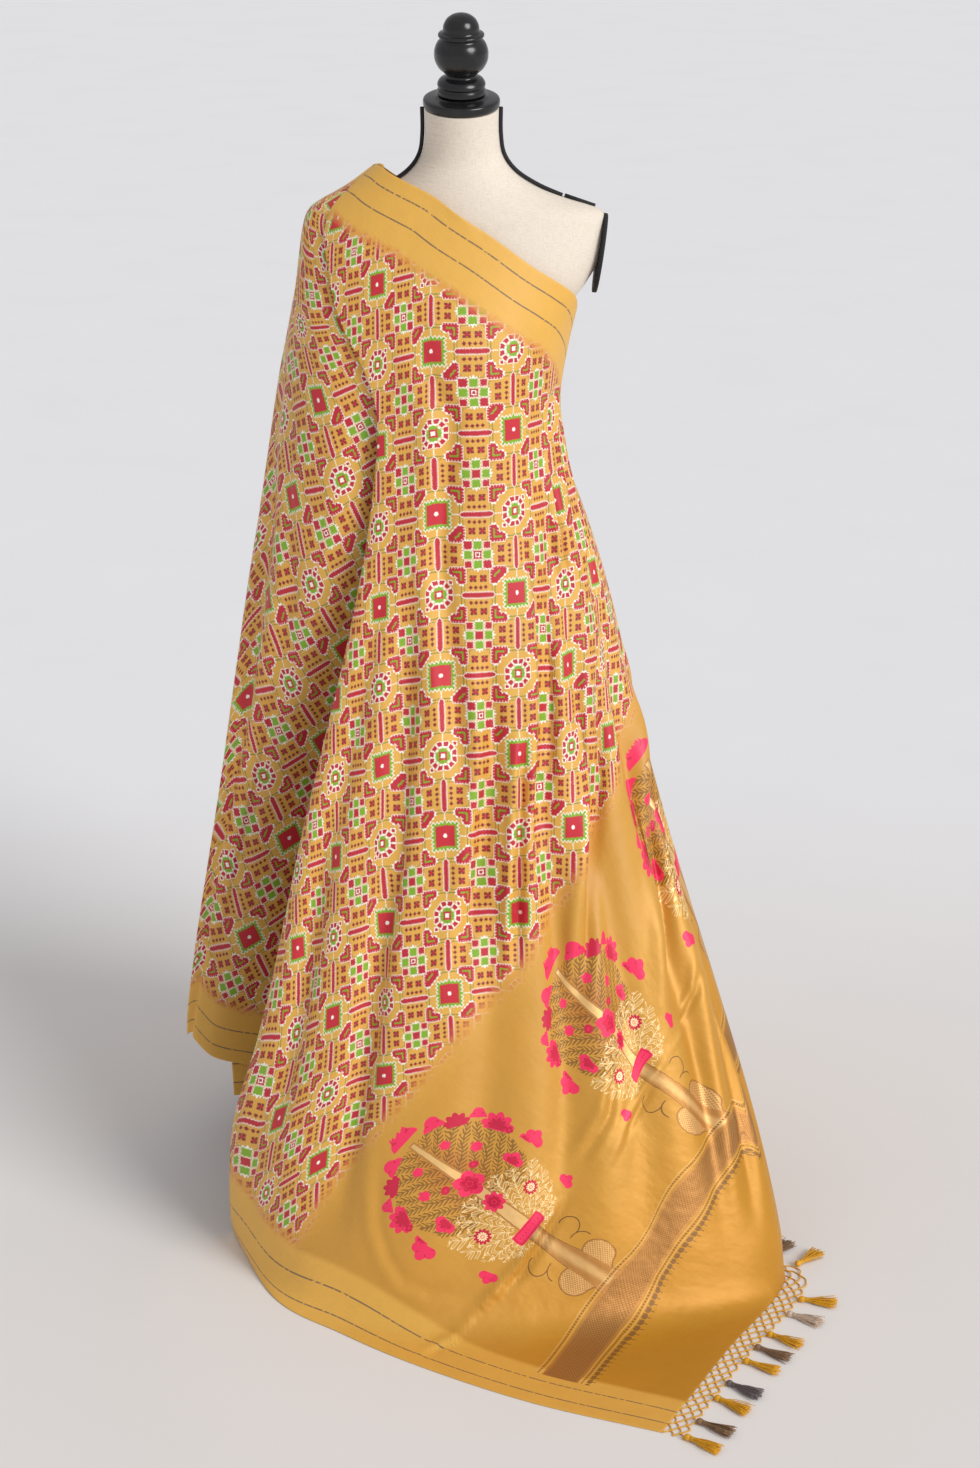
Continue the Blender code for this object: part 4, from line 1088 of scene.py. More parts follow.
def lattice_print(tree, u, v):
    """The printed lattice, an everyday tie-dye design, in millimetres of cloth."""
    thread_u = noise(tree, u, v, 40.0, 1100.0, 1.0) * 0.0024 - 0.0012
    thread_v = noise(tree, u, v, 1100.0, 40.0, 1.0) * 0.0020 - 0.0010
    along = (LATTICE_U - u + thread_u) * (0.5 / DIAGONAL)
    across = (v - LATTICE_V + thread_v) * (0.5 / DIAGONAL)
    column = along + across
    row = along - across
    x = (column * 100.0).mirrored(50.0)
    y = (row * 100.0).mirrored(50.0)
    tooth = ((column * 100.0).mirrored(TOOTH) + (row * 100.0).mirrored(TOOTH) - TOOTH) * 1.25
    far = x.above(y)
    near = x.below(y)
    diamond = x + y
    node_odd = ((column + 0.5).floor() + (row + 0.5).floor()).odd()
    cell_odd = (column.floor() + row.floor()).odd()
    on_chain = ((column.fract() - 0.5) * (row.fract() - 0.5)) > 0.0
    chain = on_chain * (1.0 - cell_odd)
    paint = Paint(tree, GOLD)

    # The plaque over each bar, then its bar, diamonds and flowers
    bar_along = 50.0 - far
    scallop = 5.0 - distance(bar_along - 17.0, near - 31.0)
    plaque = (bar_along - 17.0).above(near - 31.0).above(scallop) + tooth * 0.4
    paint = paint.shape(PLAQUE_TAN, plaque, OLIVE, 1.0)
    ring = (far.above(diamond * 0.7071) - 29.0) + tooth * 0.3
    paint = paint.over(OLIVE, (abs(ring) < 0.7) * (near < 14.0))
    teeth = bar_along.mirrored(1.7) * 1.2
    bar = (near - 2.2 - teeth).above(bar_along + near * 0.9 - 21.0)
    paint = paint.shape(PRINT_RED, bar, CREAM, 1.1)
    diamonds = (3.15 - bar_along.mirrored(3.15)) + abs(near - 9.4) - 2.7
    paint = paint.over(MAROON, (diamonds < 0.0) * (bar_along < 12.6))
    petal_x = abs(abs(bar_along - 6.4) - 2.3)
    petal_y = abs(abs(near - 20.5) - 2.3)
    paint = paint.over(MAROON, petal_x.above(petal_y) < 1.9)
    paint = paint.over(PRINT_RED, abs(bar_along - 6.4) + abs(near - 20.5) < 2.6)

    # The heart in each corner between two bars, without its notch on the chains
    arms = (23.5 - far - chain * 9.0).above(13.4 - near)
    corners = (40.5 - diamond).above(far - near - 18.5)
    heart = arms.above(corners).above(far - 34.2) + tooth * 0.7
    paint = paint.shape(PRINT_RED, heart, CREAM, 1.5)
    angled = (abs(far - 28.8) + tooth * 0.25 - 1.0).above(18.5 - near)
    straight = (abs(diamond - 52.5) * 0.7 + tooth * 0.25 - 1.1).above(far - near - 8.0)
    streak = angled + chain * 50.0
    paint = paint.over(GREEN, streak.below(straight + (1.0 - chain) * 50.0) < 0.0)

    # The dots that join each bar's tip to its node
    dots = distance(near, 1.4 - (bar_along - 22.6).mirrored(1.4)) - 1.0
    paint = paint.over(CREAM, (dots < 0.0) * (far > 20.0) * (far < 28.0))

    # A square at every other node, a rosette at the rest
    square_off = node_odd * 100.0
    points = (2.6 - near.mirrored(2.6)) * 1.3 + (2.6 - near * 0.9).above(0.0)
    square = far - 14.9 - points + square_off
    paint = paint.shape(GREEN, square, CREAM, 1.6)
    paint = paint.shape(CRIMSON, far - 13.4 + tooth * 0.6 + square_off)
    paint = paint.shape(CREAM, far - 2.8 + near * 0.4 + square_off)
    rosette_off = (1.0 - node_odd) * 100.0
    reach = distance(x, y)
    turn = (y.math("ARCTAN2", x) * (6.0 / math.pi)).mirrored(0.5)
    eight = far.above(diamond * 0.7071)
    beads = ((0.5 - turn) * 7.6).above(abs(eight - 14.8)) - 2.8
    paint = paint.shape(PRINT_RED, beads + rosette_off, CREAM, 0.85)
    outer = (0.5 - turn) * 9.0 + abs(reach - 21.8) * 0.9 - 2.3 + on_chain * 50.0
    outer = outer + ((far - near) - 8.0).above(0.0)
    paint = paint.shape(PRINT_RED, outer + rosette_off, CREAM, 1.4)
    leaf = diamond.above(far * 1.3) - 13.2 + tooth * 0.6
    paint = paint.shape(GREEN, leaf + rosette_off, CREAM, 1.2)
    paint = paint.shape(CRIMSON, far - 5.4 + tooth * 0.5 + rosette_off)
    paint = paint.shape(CREAM, far - 2.7 + rosette_off)

    # The nine squares in each cell, with a longer diagonal in every other one
    cell_far = 50.0 - near
    cell_near = 50.0 - far
    corner_size = 3.9 + chain * 1.7
    corner = abs(cell_far - 12.0).above(abs(cell_near - 12.0)) - corner_size + tooth * 0.55
    paint = paint.shape(PRINT_RED, corner, CREAM, 1.0)
    spike = (cell_near + (cell_far - 17.0) * 0.55 - 2.6).above(cell_far - 21.5)
    paint = paint.over(CREAM, spike.above(12.0 - cell_far) < 0.0)
    green = abs(cell_far - 12.0).above(cell_near) - 5.2 + tooth * 0.75
    paint = paint.shape(GREEN, green, CREAM, 1.1)
    centre = cell_far - 5.2 + tooth * 0.8
    paint = paint.shape(PRINT_RED, centre, CREAM, 1.0)
    return paint.over(CREAM, (abs(cell_far - 2.4) < 0.6) * (1.0 - cell_odd))


def border(paint, edge, u, v):
    """The plain selvedge border over a ground, with its two thin stripes."""
    tree = paint.tree
    broken = noise(tree, u, v, 160.0, 160.0)
    wide = edge * 1000.0
    paint = paint.over(BORDER_GOLD, 1.0 - wide.ramp(*BORDER_FADE))
    for place in STRIPE_PLACES:
        line = (abs(wide - place) < STRIPE_HALF) * broken.ramp(0.30, 0.45)
        paint = paint.over(STRIPE, line * 0.85)
    return paint


def surface(tree, colour, height, strength, depth):
    """The shader with its colour and with fine relief from a height."""
    bump = tree.nodes.new("ShaderNodeBump")
    bump.inputs["Strength"].default_value = strength
    bump.inputs["Distance"].default_value = depth
    tree.links.new(height, bump.inputs["Height"])
    shader = tree.nodes["Principled BSDF"]
    tree.links.new(colour, shader.inputs["Base Color"])
    tree.links.new(bump.outputs[0], shader.inputs["Normal"])
    return shader


def silk_finish(tree, paint, u, v, roughness, depth, crumple_depth):
    """Woven silk: thread-to-thread colour, a fine weave and a soft sheen."""
    slub = noise(tree, u, v, 60.0, 1400.0, 3.0)
    warp = noise(tree, u, v, 1600.0, 70.0, 3.0)
    cloud = noise(tree, u, v, 9.0, 9.0, 2.0)
    tone = slub * 0.16 + warp * 0.12 + cloud * 0.14 + 0.79
    shade = tree.nodes.new("ShaderNodeMix")
    shade.data_type = "RGBA"
    shade.blend_type = "MULTIPLY"
    shade.inputs[0].default_value = 1.0
    tree.links.new(paint.colour, shade.inputs[6])
    tree.links.new(tone.socket, shade.inputs[7])
    weave_u = (u * 1000.0).mirrored(0.45)
    weave_v = (v * 1000.0).mirrored(0.45)
    crumple = noise(tree, u, v, 26.0, 34.0, 2.0)
    height = weave_u.above(weave_v) + slub * 0.6 + warp * 0.4 + crumple * crumple_depth
    shader = surface(tree, shade.outputs[2], height.socket, depth, 0.0004)
    rough = slub * 0.16 + (roughness - 0.08)
    tree.links.new(rough.socket, shader.inputs["Roughness"])
    shader.inputs["Sheen Weight"].default_value = 0.22
    shader.inputs["Sheen Roughness"].default_value = 0.4
    shader.inputs["Sheen Tint"].default_value = (*srgb(255, 226, 170), 1.0)
    shader.inputs["Specular IOR Level"].default_value = 0.45
    return shader


def new_material(name):
    """An empty material and its node tree."""
    made = bpy.data.materials.new(name)
    made.use_nodes = True
    return made, made.node_tree


def printed_silk():
    """The printed cloth: the lattice, its faded edges and the selvedge border."""
    made, tree = new_material("printed silk")
    u, v, edge, end = cloth_values(tree)
    ground = Paint(tree, BORDER_GOLD)
    streaks = noise(tree, u, v, 30.0, 900.0, 1.0) * 0.030 - 0.015
    beside = (edge + streaks * 0.4).ramp(*FADE_BESIDE)
    before = (end + streaks).ramp(*FADE_BEFORE)
    amount = beside.below(before)
    full = lattice_print(tree, u, v)
    paint = ground.over(full, amount)
    paint = paint.over(FADE_ORANGE, amount * (1.0 - amount) * 1.3)
    paint = paint.over(PALLU_GOLD, (1.0 - end.ramp(0.650, 0.690)) * 0.9)
    paint = border(paint, edge + amount * 2.0, u, v)
    silk_finish(tree, paint, u, v, 0.50, 0.35, 6.0)
    return made


def woven_pallu():
    """The woven end: the vases of flowers, the border and the copper bands."""
    made, tree = new_material("woven silk pallu")
    u, v, edge, end = cloth_values(tree)
    along = v * 1000.0
    out = u * 1000.0
    # The pallu's gold deepens towards its end, which lies on the floor: partly the cloth's own deeper gold,
    # partly painted shade.
    paint = Paint(tree, PALLU_GOLD).over(PALLU_SHADE, 1.0 - u.ramp(0.14, 0.42))
    paint, zari = bouquets(paint, along, out)
    paint = border(paint, edge, u, v)
    paint, band = pallu_bands(paint, along, out, edge)
    shader = silk_finish(tree, paint, u, v, 0.45, 0.25, 11.0)
    gold = (1.0 - u.ramp(0.40, 0.64)) * 0.22
    tree.links.new(gold.above(zari.above(band) * 0.5).socket, shader.inputs["Metallic"])
    return made


def pallu_bands(paint, along, out, edge):
    """The copper thread bands across the pallu, with their dotted trims."""
    inside = edge > 0.062
    half = abs(out - BAND_MIDDLE) - BAND_HALF
    band = (half < 0.0) * inside
    fine = abs(along.mirrored(2.6) + out.mirrored(2.6) - 2.6) - 0.8
    paint = paint.over(COPPER, band)
    paint = paint.over(COPPER_DARK, (fine < 0.0) * (half < -4.0) * inside * 0.6)
    for place in BAND_TRIMS:
        paint = paint.over(COPPER_LIGHT, (abs(abs(out - place) - 3.6) < 0.7) * inside * 0.45)
        dot = distance(2.4 - along.mirrored(2.4), out - place) - 1.5
        paint = paint.over(COPPER_DARK, (dot < 0.0) * inside * 0.9)
    leaf = distance(abs(5.5 - along.mirrored(5.5)) - 1.9, (out - BAND_LEAVES) * 0.8) - 3.1
    stalk = (5.5 - along.mirrored(5.5)).above(abs(out - BAND_STALKS) - 3.5) - 0.8
    return paint.over(COPPER_DARK, (leaf.below(stalk) < 0.0) * inside * 0.85), band


def draw_flower(paint, across, along, flower):
    """One flower: scalloped petals, a darker middle that is scalloped too, and veins."""
    faces = math.radians(flower.faces)
    x = along * math.cos(faces) + across * math.sin(faces)
    y = across * math.cos(faces) - along * math.sin(faces)
    reach = distance(x, y)
    lobe = abs((y.math("ARCTAN2", x) * (flower.petals / 2)).math("COSINE"))
    petals = reach - (lobe * 0.26 + 0.74) * flower.radius
    if flower.cup:
        petals = petals.above(x * -1.0 - flower.radius * 0.25)
    paint = paint.over(flower.colour, petals < 0.0)
    veins = (lobe < 0.20) * (petals < -1.0) * (reach > flower.radius * 0.42)
    paint = paint.over(DEEP_PINK, veins * 0.8)
    if flower.centre is PINK:
        return paint
    middle = reach - (lobe * 0.22 + 0.38) * flower.radius
    if flower.cup:
        middle = middle.above(petals + 1.5)
    paint = paint.over(flower.centre, middle < 0.0)
    if flower.cup:
        return paint
    dots = distance(reach - flower.radius * 0.2, lobe * 3.0 - 2.2) - 1.0
    return paint.over(PINK, dots < 0.0)


def draw_leaves(paint, across, rise, along):
    """Brown sprigs that branch off the stem, and pale leaves fanned from the tie."""
    tree = paint.tree
    ragged = noise(tree, across, rise, 0.06, 0.06) - 0.5
    glow = 1.0 - distance(across * 1.1, (along + 20.0) * 0.6).ramp(8.0, 66.0)
    paint = paint.over(FERN_SHADE, glow * 0.85)
    side = (along * 0.8 + across * 0.6 + ragged * 12.0).mirrored(8.5)
    step = (across * 0.8 - along * 0.6 - side * 1.2) * (1.0 / SPRIG_STEP) + ragged
    sprig = (step.fract() < 0.48) * (side < 7.2) + (side < 0.8)
    upper = distance(across, (along + 12.0) * 0.95) - 92.0 - ragged * 16.0
    upper = upper.above(along - across * 0.45 - 34.0)
    paint = paint.over(COPPER_DARK, sprig.below(1.0) * (upper < 0.0) * 0.8)
    length = distance(across, rise)
    side = (across.math("ARCTAN2", rise) + ragged * 0.16).mirrored(STEM_FAN) * length
    step = (length - side) * (1.0 / LEAF_STEP) + ragged * 1.5
    leaf = distance((step.fract() - 0.5) * LEAF_STEP, (side - 5.4) * 0.5) - 2.9
    lower = distance(across * 0.95, along - 58.0) - 88.0 - ragged * 16.0
    lower = (lower.above(across * 0.45 + 2.0 - along).above(24.0 - length) < 0.0)
    paint = paint.over(COPPER_LIGHT, (leaf < 0.0) * lower * 0.25)
    outline = (abs(leaf) < 0.6) + (side < 0.6)
    return paint.over(LEAF_PALE, outline.below(1.0) * lower * 0.8)


def draw_vase(paint, across, along):
    """The vase below the tie: a satin column, two round lobes, curled handles."""
    y = along - TIE_PLACE
    column = across - 12.0 - (abs(y - 34.0) - 14.0).above(0.0) * 0.08
    column = column.above(-4.0 - y).above(y - 176.0)
    lobe = distance(across - 28.0, (y - 124.0) * 0.85) - 23.0
    join = distance(across * 0.7, y - 134.0) - 27.0
    handle = abs(distance(across - 38.0, y - 56.0) - 17.0) - 0.9
    handle = handle.above(34.0 - across)
    curl = abs(distance(across - 27.0, y - 90.0) - 19.0) - 0.9
    curl = curl.above(24.0 - across).above(y - 92.0)
    paint = paint.over(COPPER_DARK, handle.below(curl) < 0.0)
    body = lobe.below(join)
    paint = paint.shape(COPPER, body.below(column), COPPER_DARK, 0.9)
    shine = 1.0 - across.ramp(2.0, 12.0)
    paint = paint.over(COPPER_LIGHT, (column < 0.0) * shine * 0.6)
    vine = abs(distance(across.mirrored(5.0) - 2.5, y.mirrored(5.0) - 2.5) - 1.9) - 0.55
    paint = paint.over(COPPER_LIGHT, (vine < 0.0) * (body < -1.5) * (column > 0.0) * 0.7)
    tie = (across - 31.0 + abs(y) * 0.25).above(abs(y) - 11.0)
    paint = paint.over(PINK, tie < 0.0)
    dot = distance(3.0 - across.mirrored(3.0), y) - 1.3
    paint = paint.over(DEEP_PINK, (abs(tie + 2.6) < 0.8) + (dot < 0.0) * (tie < -4.0))
    return paint, (body.below(column) < 0.0) * (tie > 0.0)


def bouquets(paint, along, out):
    """The woven vases of flowers, each the same on both sides of its stem."""
    across = (along - BOUQUET_ALONG).mirrored(BOUQUET_PITCH / 2)
    along = BOUQUET_OUT - out
    rise = TIE_PLACE - along
    paint = draw_leaves(paint, across, rise, along)
    # The woven stem, light copper with copper edges, widening towards the tie; its light middle is partly a
    # painted satin highlight.
    stem_half = (along + 110.0).ramp(0.0, 220.0) * 7.0 + 3.0
    main_stem = (across - stem_half).above(abs(along - 4.0) - 112.0)
    paint = paint.shape(COPPER_LIGHT, main_stem, COPPER, 2.6)
    for flower in BOUQUET_FLOWERS:
        paint = draw_flower(paint, across - flower.across, along - flower.along, flower)
    paint, zari = draw_vase(paint, across, along)
    return paint, zari.above(main_stem < 0.0)


def simple_material(name, colour, dark, roughness, scale, metallic=0.0, bump_depth=0.3):
    """A surface with a fine grain in colour and height."""
    made, tree = new_material(name)
    place = tree.nodes.new("ShaderNodeTexCoord")
    grain = tree.nodes.new("ShaderNodeTexNoise")
    grain.inputs["Scale"].default_value = scale
    grain.inputs["Detail"].default_value = 3.0
    tree.links.new(place.outputs["Object"], grain.inputs["Vector"])
    paint = Paint(tree, colour).over(dark, Value(tree, grain.outputs[0]).ramp(0.42, 0.68))
    shader = surface(tree, paint.colour, grain.outputs[0], bump_depth, 0.0003)
    shader.inputs["Roughness"].default_value = roughness
    shader.inputs["Metallic"].default_value = metallic
    return made


def linen_material():
    """Plain woven linen: crossed threads with slubs and small flecks."""
    made, tree = new_material("form linen")
    place = tree.nodes.new("ShaderNodeTexCoord")
    split = tree.nodes.new("ShaderNodeSeparateXYZ")
    tree.links.new(place.outputs["Object"], split.inputs[0])
    across = (Value(tree, split.outputs[0]) + Value(tree, split.outputs[1])) * 1000.0
    up = Value(tree, split.outputs[2]) * 1000.0
    weave = across.mirrored(0.5) + up.mirrored(0.5)
    thread = noise(tree, across, up, 0.08, 1.6, 3.0)
    thread = thread + noise(tree, across, up, 1.6, 0.08, 3.0)
    fleck = noise(tree, across, up, 0.55, 0.75, 1.0).ramp(0.70, 0.76)
    paint = Paint(tree, LINEN).over(LINEN_DARK, thread.ramp(0.85, 1.35) * 0.5)
    paint = paint.over(LINEN_DARK, fleck * 0.8)
    shader = surface(tree, paint.colour, (weave + thread).socket, 0.35, 0.0004)
    shader.inputs["Roughness"].default_value = 0.85
    shader.inputs["Sheen Weight"].default_value = 0.15
    return made


def mesh_object(name, points, faces, item):
    """A smooth piece of one material, from points and faces."""
    mesh = bpy.data.meshes.new(name)
    mesh.from_pydata([tuple(point) for point in points], [], faces)
    mesh.shade_smooth()
    mesh.materials.append(item)
    return add_object(name, mesh)


def ring_faces(levels, sides, first=0):
    """Faces that join rings of points from the first on, with a cap at each end."""
    faces = []
    for level in range(levels - 1):
        here = first + level * sides
        for side in range(sides):
            after = (side + 1) % sides
            faces.append((here + side, here + after, here + sides + after, here + sides + side))
    faces.append(tuple(first + side for side in reversed(range(sides))))
    faces.append(tuple(first + (levels - 1) * sides + side for side in range(sides)))
    return faces


def lathe_points(profile, sides):
    """Rings of points: a profile of radius and height, spun round +Z."""
    points = []
    for radius, height in profile:
        for side in range(sides):
            turn = 2 * math.pi * side / sides
            points.append(Vector((radius * math.cos(turn), radius * math.sin(turn), height)))
    return points


def build_torso(item):
    """The padded torso, with a flat where each arm would start."""
    heights = np.linspace(TORSO[0].height, TORSO[-1].height, TORSO_LEVELS)
    row = read_rows(TORSO, heights[:, None])
    angle = np.radians(np.arange(TORSO_SIDES) * 360 / TORSO_SIDES)[None, :]
    depth = np.where(np.cos(angle) > 0, row.front, row.back)
    forward = -depth * np.cos(angle)
    x = row.half_width * np.sin(angle)
    y = row.centre_y + forward
    z = row.height + forward * math.tan(NECK_TILT) * row.tilt
    flat = ARM_PLATE_CENTRE.x + (z - ARM_PLATE_CENTRE.z) * math.tan(-ARM_PLATE_TILT)
    near_arm = heights[:, None] > ARM_FLAT_FROM
    x = np.where(near_arm, np.clip(x, -flat, flat), x)
    points = np.stack([x, y, z], axis=-1).reshape(-1, 3)
    made = mesh_object("torso_linen", points, ring_faces(TORSO_LEVELS, TORSO_SIDES), item)
    made.data.set_sharp_from_angle(angle=math.radians(50))
    return made


def build_arm_plate(side, name, item):
    """An oval plate with a rounded rim on the arm's flat."""
    rings = [(share, share, ARM_PLATE_THICKNESS * level) for share, level in PLATE_FACE]
    for step in range(PLATE_RIM_STEPS + 1):
        angle = math.pi / 2 * step / PLATE_RIM_STEPS
        pull = PLATE_RIM * (1.0 - math.sin(angle))
        rings.append((
            1.0 - pull / ARM_PLATE_HEIGHT, 1.0 - pull / ARM_PLATE_DEPTH,
            ARM_PLATE_THICKNESS - PLATE_RIM * (1.0 - math.cos(angle)),
        ))
    rings.append((1.0, 1.0, 0.0))
    points = []
    for tall, deep, level in reversed(rings):
        for index in range(PLATE_SIDES):
            turn = 2 * math.pi * index / PLATE_SIDES
            points.append(Vector((
                math.cos(turn) * ARM_PLATE_HEIGHT * tall,
                math.sin(turn) * ARM_PLATE_DEPTH * deep, level,
            )))
    tilt = Matrix.Rotation(side * (math.radians(90) - ARM_PLATE_TILT), 3, "Y")
    centre = Vector((side * ARM_PLATE_CENTRE.x, ARM_PLATE_CENTRE.y, ARM_PLATE_CENTRE.z))
    centre += tilt @ Vector((0.0, 0.0, PLATE_GAP))
    points = [centre + tilt @ point for point in points]
    return mesh_object(name, points, ring_faces(len(rings), PLATE_SIDES), item)


def rounded(profile, rounds=2):
    """A profile with its corners cut, except at its two ends."""
    for _ in range(rounds):
        cut = [profile[0]]
        for before, after in zip(profile, profile[1:]):
            for share in (0.22, 0.78):
                cut.append(tuple(b + (a - b) * share for b, a in zip(before, after)))
        cut.append(profile[-1])
        profile = cut
    return profile


def build_turned(name, profile, place, item):
    """A turned piece: its profile of radius and height, spun round its tilted axis."""
    profile = rounded(profile)[1:-1]
    tilt = Matrix.Rotation(NECK_TILT, 3, "X")
    points = [place + tilt @ point for point in lathe_points(profile[::-1], TURNED_SIDES)]
    made = mesh_object(name, points, ring_faces(len(profile), TURNED_SIDES), item)
    made.data.set_sharp_from_angle(angle=math.radians(40))
    return made


def build_cap_and_finial(item):
    """The neck's wooden cap, and the finial that stands on it."""
    neck = TORSO[-1]
    up = Matrix.Rotation(NECK_TILT, 3, "X") @ Vector((0.0, 0.0, 1.0))
    seat = Vector((0.0, neck.centre_y, neck.height)) + up * 2.0 * PLATE_GAP
    cap = build_turned("neck_cap_wood", CAP_PROFILE, seat, item)
    top = seat + up * (CAP_PROFILE[0][1] + PLATE_GAP)
    return cap, build_turned("finial_wood", FINIAL_PROFILE, top, item)


def tube(name, paths, radius, sides, item):
    """Round cords along paths, joined into one piece."""
    points = []
    faces = []
    for path in paths:
        path = [Vector(point) for point in path]
        count = len(path)
        first = len(points)
        normal = None
        for index, point in enumerate(path):
            way = (path[min(count - 1, index + 1)] - path[max(0, index - 1)]).normalized()
            if normal is None:
                normal = way.orthogonal().normalized()
            normal = (normal - way * normal.dot(way)).normalized()
            other = way.cross(normal)
            for side in range(sides):
                turn = 2 * math.pi * side / sides
                points.append(point + (normal * math.cos(turn) + other * math.sin(turn)) * radius)
        faces += ring_faces(count, sides, first)
    return mesh_object(name, points, faces, item)


def curve_through(points, steps):
    """A smooth line through points, steps to a stretch."""
    table = np.array([tuple(point) for point in points])
    count = len(table)
    line = []
    for index in range(count - 1):
        before = table[max(0, index - 1)]
        after = table[min(count - 1, index + 2)]
        start = table[index]
        end = table[index + 1]
        for step in range(steps):
            t = step / steps
            line.append(0.5 * (
                2 * start + (end - before) * t
                + (2 * before - 5 * start + 4 * end - after) * t ** 2
                + (3 * start - before - 3 * end + after) * t ** 3
            ))
    line.append(table[-1])
    return [Vector(point) for point in line]


def build_piping(side, name, item):
    """The corded seam from the neck's top along a shoulder."""
    rows = [row for row in TORSO if row.height >= PIPING_LOW_END]
    outline = [Vector((row.half_width, row.height)) for row in rows]
    points = []
    for index, row in enumerate(rows):
        before = outline[max(0, index - 1)]
        after = outline[min(len(outline) - 1, index + 1)]
        way = (after - before).normalized()
        stand_off = PIPING_RADIUS + PIPING_CLEARANCE
        x = outline[index].x + stand_off * way.y - PIPING_END_STEP * (index == 0)
        z = outline[index].y - stand_off * way.x
        points.append((side * x, row.centre_y, z))
    return tube(name, [curve_through(points, 10)], CORD_SEAM_RADIUS, CORD_SEAM_SIDES, item)


def build_seam_end(name, item):
    """The last of the right shoulder's seam, between the piping and the arm plate."""
    rows = [row for row in TORSO if SEAM_END_LEVELS[0] <= row.height <= SEAM_END_LEVELS[1]]
    points = []
    for row in rows[::-1]:
        points.append(Vector((row.half_width, row.centre_y, row.height + CORD_SEAM_RADIUS)))
    points[-1].x -= PIPING_END_STEP
    return tube(name, [points], CORD_SEAM_RADIUS, CORD_SEAM_SIDES, item)


def pallu_edge_points(count):
    """Points an equal way apart along the pallu's end, and the way out there."""
    shares = np.linspace(CORNER_SHARE, 1.0, PALLU_STEPS + 1)
    row = read_rows(PALLU_END, shares)
    line = np.stack([row.x, row.y, 0.0 * row.x], axis=-1)[None]
    placed = resample(line, count)[0]
    way = np.gradient(placed, axis=0)
    way /= np.linalg.norm(way, axis=1, keepdims=True)
    outward = np.stack([way[:, 1], -way[:, 0], 0.0 * way[:, 0]], axis=-1)
    return placed, outward


def pallu_length():
    """The length of the pallu's end as built."""
    placed, _ = pallu_edge_points(PALLU_STEPS)
    return np.linalg.norm(np.diff(placed, axis=0), axis=1).sum()


def net_stations():
    """The net's cells, and a function that places a point by station and way out."""
    cells = round(pallu_length() / NET_PITCH)
    placed, outward = pallu_edge_points(2 * cells)

    def place(station, way_out, height=0.0):
        low = min(len(placed) - 2, max(0, int(station)))
        share = station - low
        middle = placed[low] * (1 - share) + placed[low + 1] * share
        out = outward[low] * (1 - share) + outward[low + 1] * share
        out = out / np.linalg.norm(out)
        return Vector(middle + out * way_out) + Vector((0.0, 0.0, height))

    return cells, place


def build_net(item):
    """Twisted cords that cross and are knotted, from the cloth's end outwards."""
    cells, place = net_stations()
    chance = Random(7)
    level_width = NET_WIDTH / NET_LEVELS
    paths = []
    knots = []
    spots = {}
    for level in range(NET_LEVELS + 1):
        for station in range(0, 2 * cells + 1):
            if (station + level) % 2:
                continue
            drift = chance.uniform(-NET_DRIFT, NET_DRIFT)
            shift = chance.uniform(-NET_SHIFT, NET_SHIFT) * level_width * (0 < level < NET_LEVELS)
            spots[station, level] = place(
                min(2 * cells, max(0, station + drift)),
                NET_START - NET_TUCK + level_width * level + shift, CORD_HEIGHT,
            )
    for (station, level), start in spots.items():
        if level:
            knots.append(start)
        for step in (-1, 1):
            end = spots.get((station + step, level + 1))
            if end is None:
                continue
            bow = (end - start).cross(Vector((0, 0, 1))) * CORD_BOW * step
            lift = Vector((0.0, 0.0, CORD_CROSSING * (step + 1)))
            middle = (start + end) / 2 + bow + lift
            paths.append(curve_through([start, middle, end], 5))
    cords = tube("net_cords", paths, CORD_RADIUS, 6, item)
    shape = bmesh.new()
    for knot in knots:
        made = bmesh.ops.create_uvsphere(shape, u_segments=8, v_segments=6, radius=KNOT_RADIUS)
        turn = Matrix.Rotation(chance.uniform(0, math.pi), 4, "Z")
        size = Matrix.Diagonal(KNOT_STRETCH)
        bmesh.ops.transform(
            shape, matrix=Matrix.Translation(knot) @ turn @ size, verts=made["verts"],
        )
    mesh = bpy.data.meshes.new("net_knots")
    shape.to_mesh(mesh)
    shape.free()
    mesh.shade_smooth()
    mesh.materials.append(item)
    return cords, add_object("net_knots", mesh)


def tassel_paths(chance):
    """The threads of one tassel, from its bound head down to loose ends."""
    paths = []
    for _ in range(THREADS):
        turn = chance.uniform(0.0, 2 * math.pi)
        root = chance.uniform(0.2, 1.0)
        spread = TASSEL_SPREAD * chance.uniform(0.35, 1.15) * root
        reach = TASSEL_LENGTH * chance.uniform(0.84, 1.0)
        x = math.cos(turn)
        y = math.sin(turn)
        bend = chance.uniform(-0.0015, 0.0015)
        waist = TASSEL_HEAD_RADIUS * 0.42 * root
        paths.append(curve_through([
            (x * waist, y * waist, -0.004),
            (x * waist * 1.3, y * waist * 1.1, -0.010),
            (x * spread * 0.62 + bend, y * spread * TASSEL_FLATNESS * 0.8, -reach * 0.55),
            (x * spread, y * spread * TASSEL_FLATNESS, -reach),
        ], 3))
    return paths


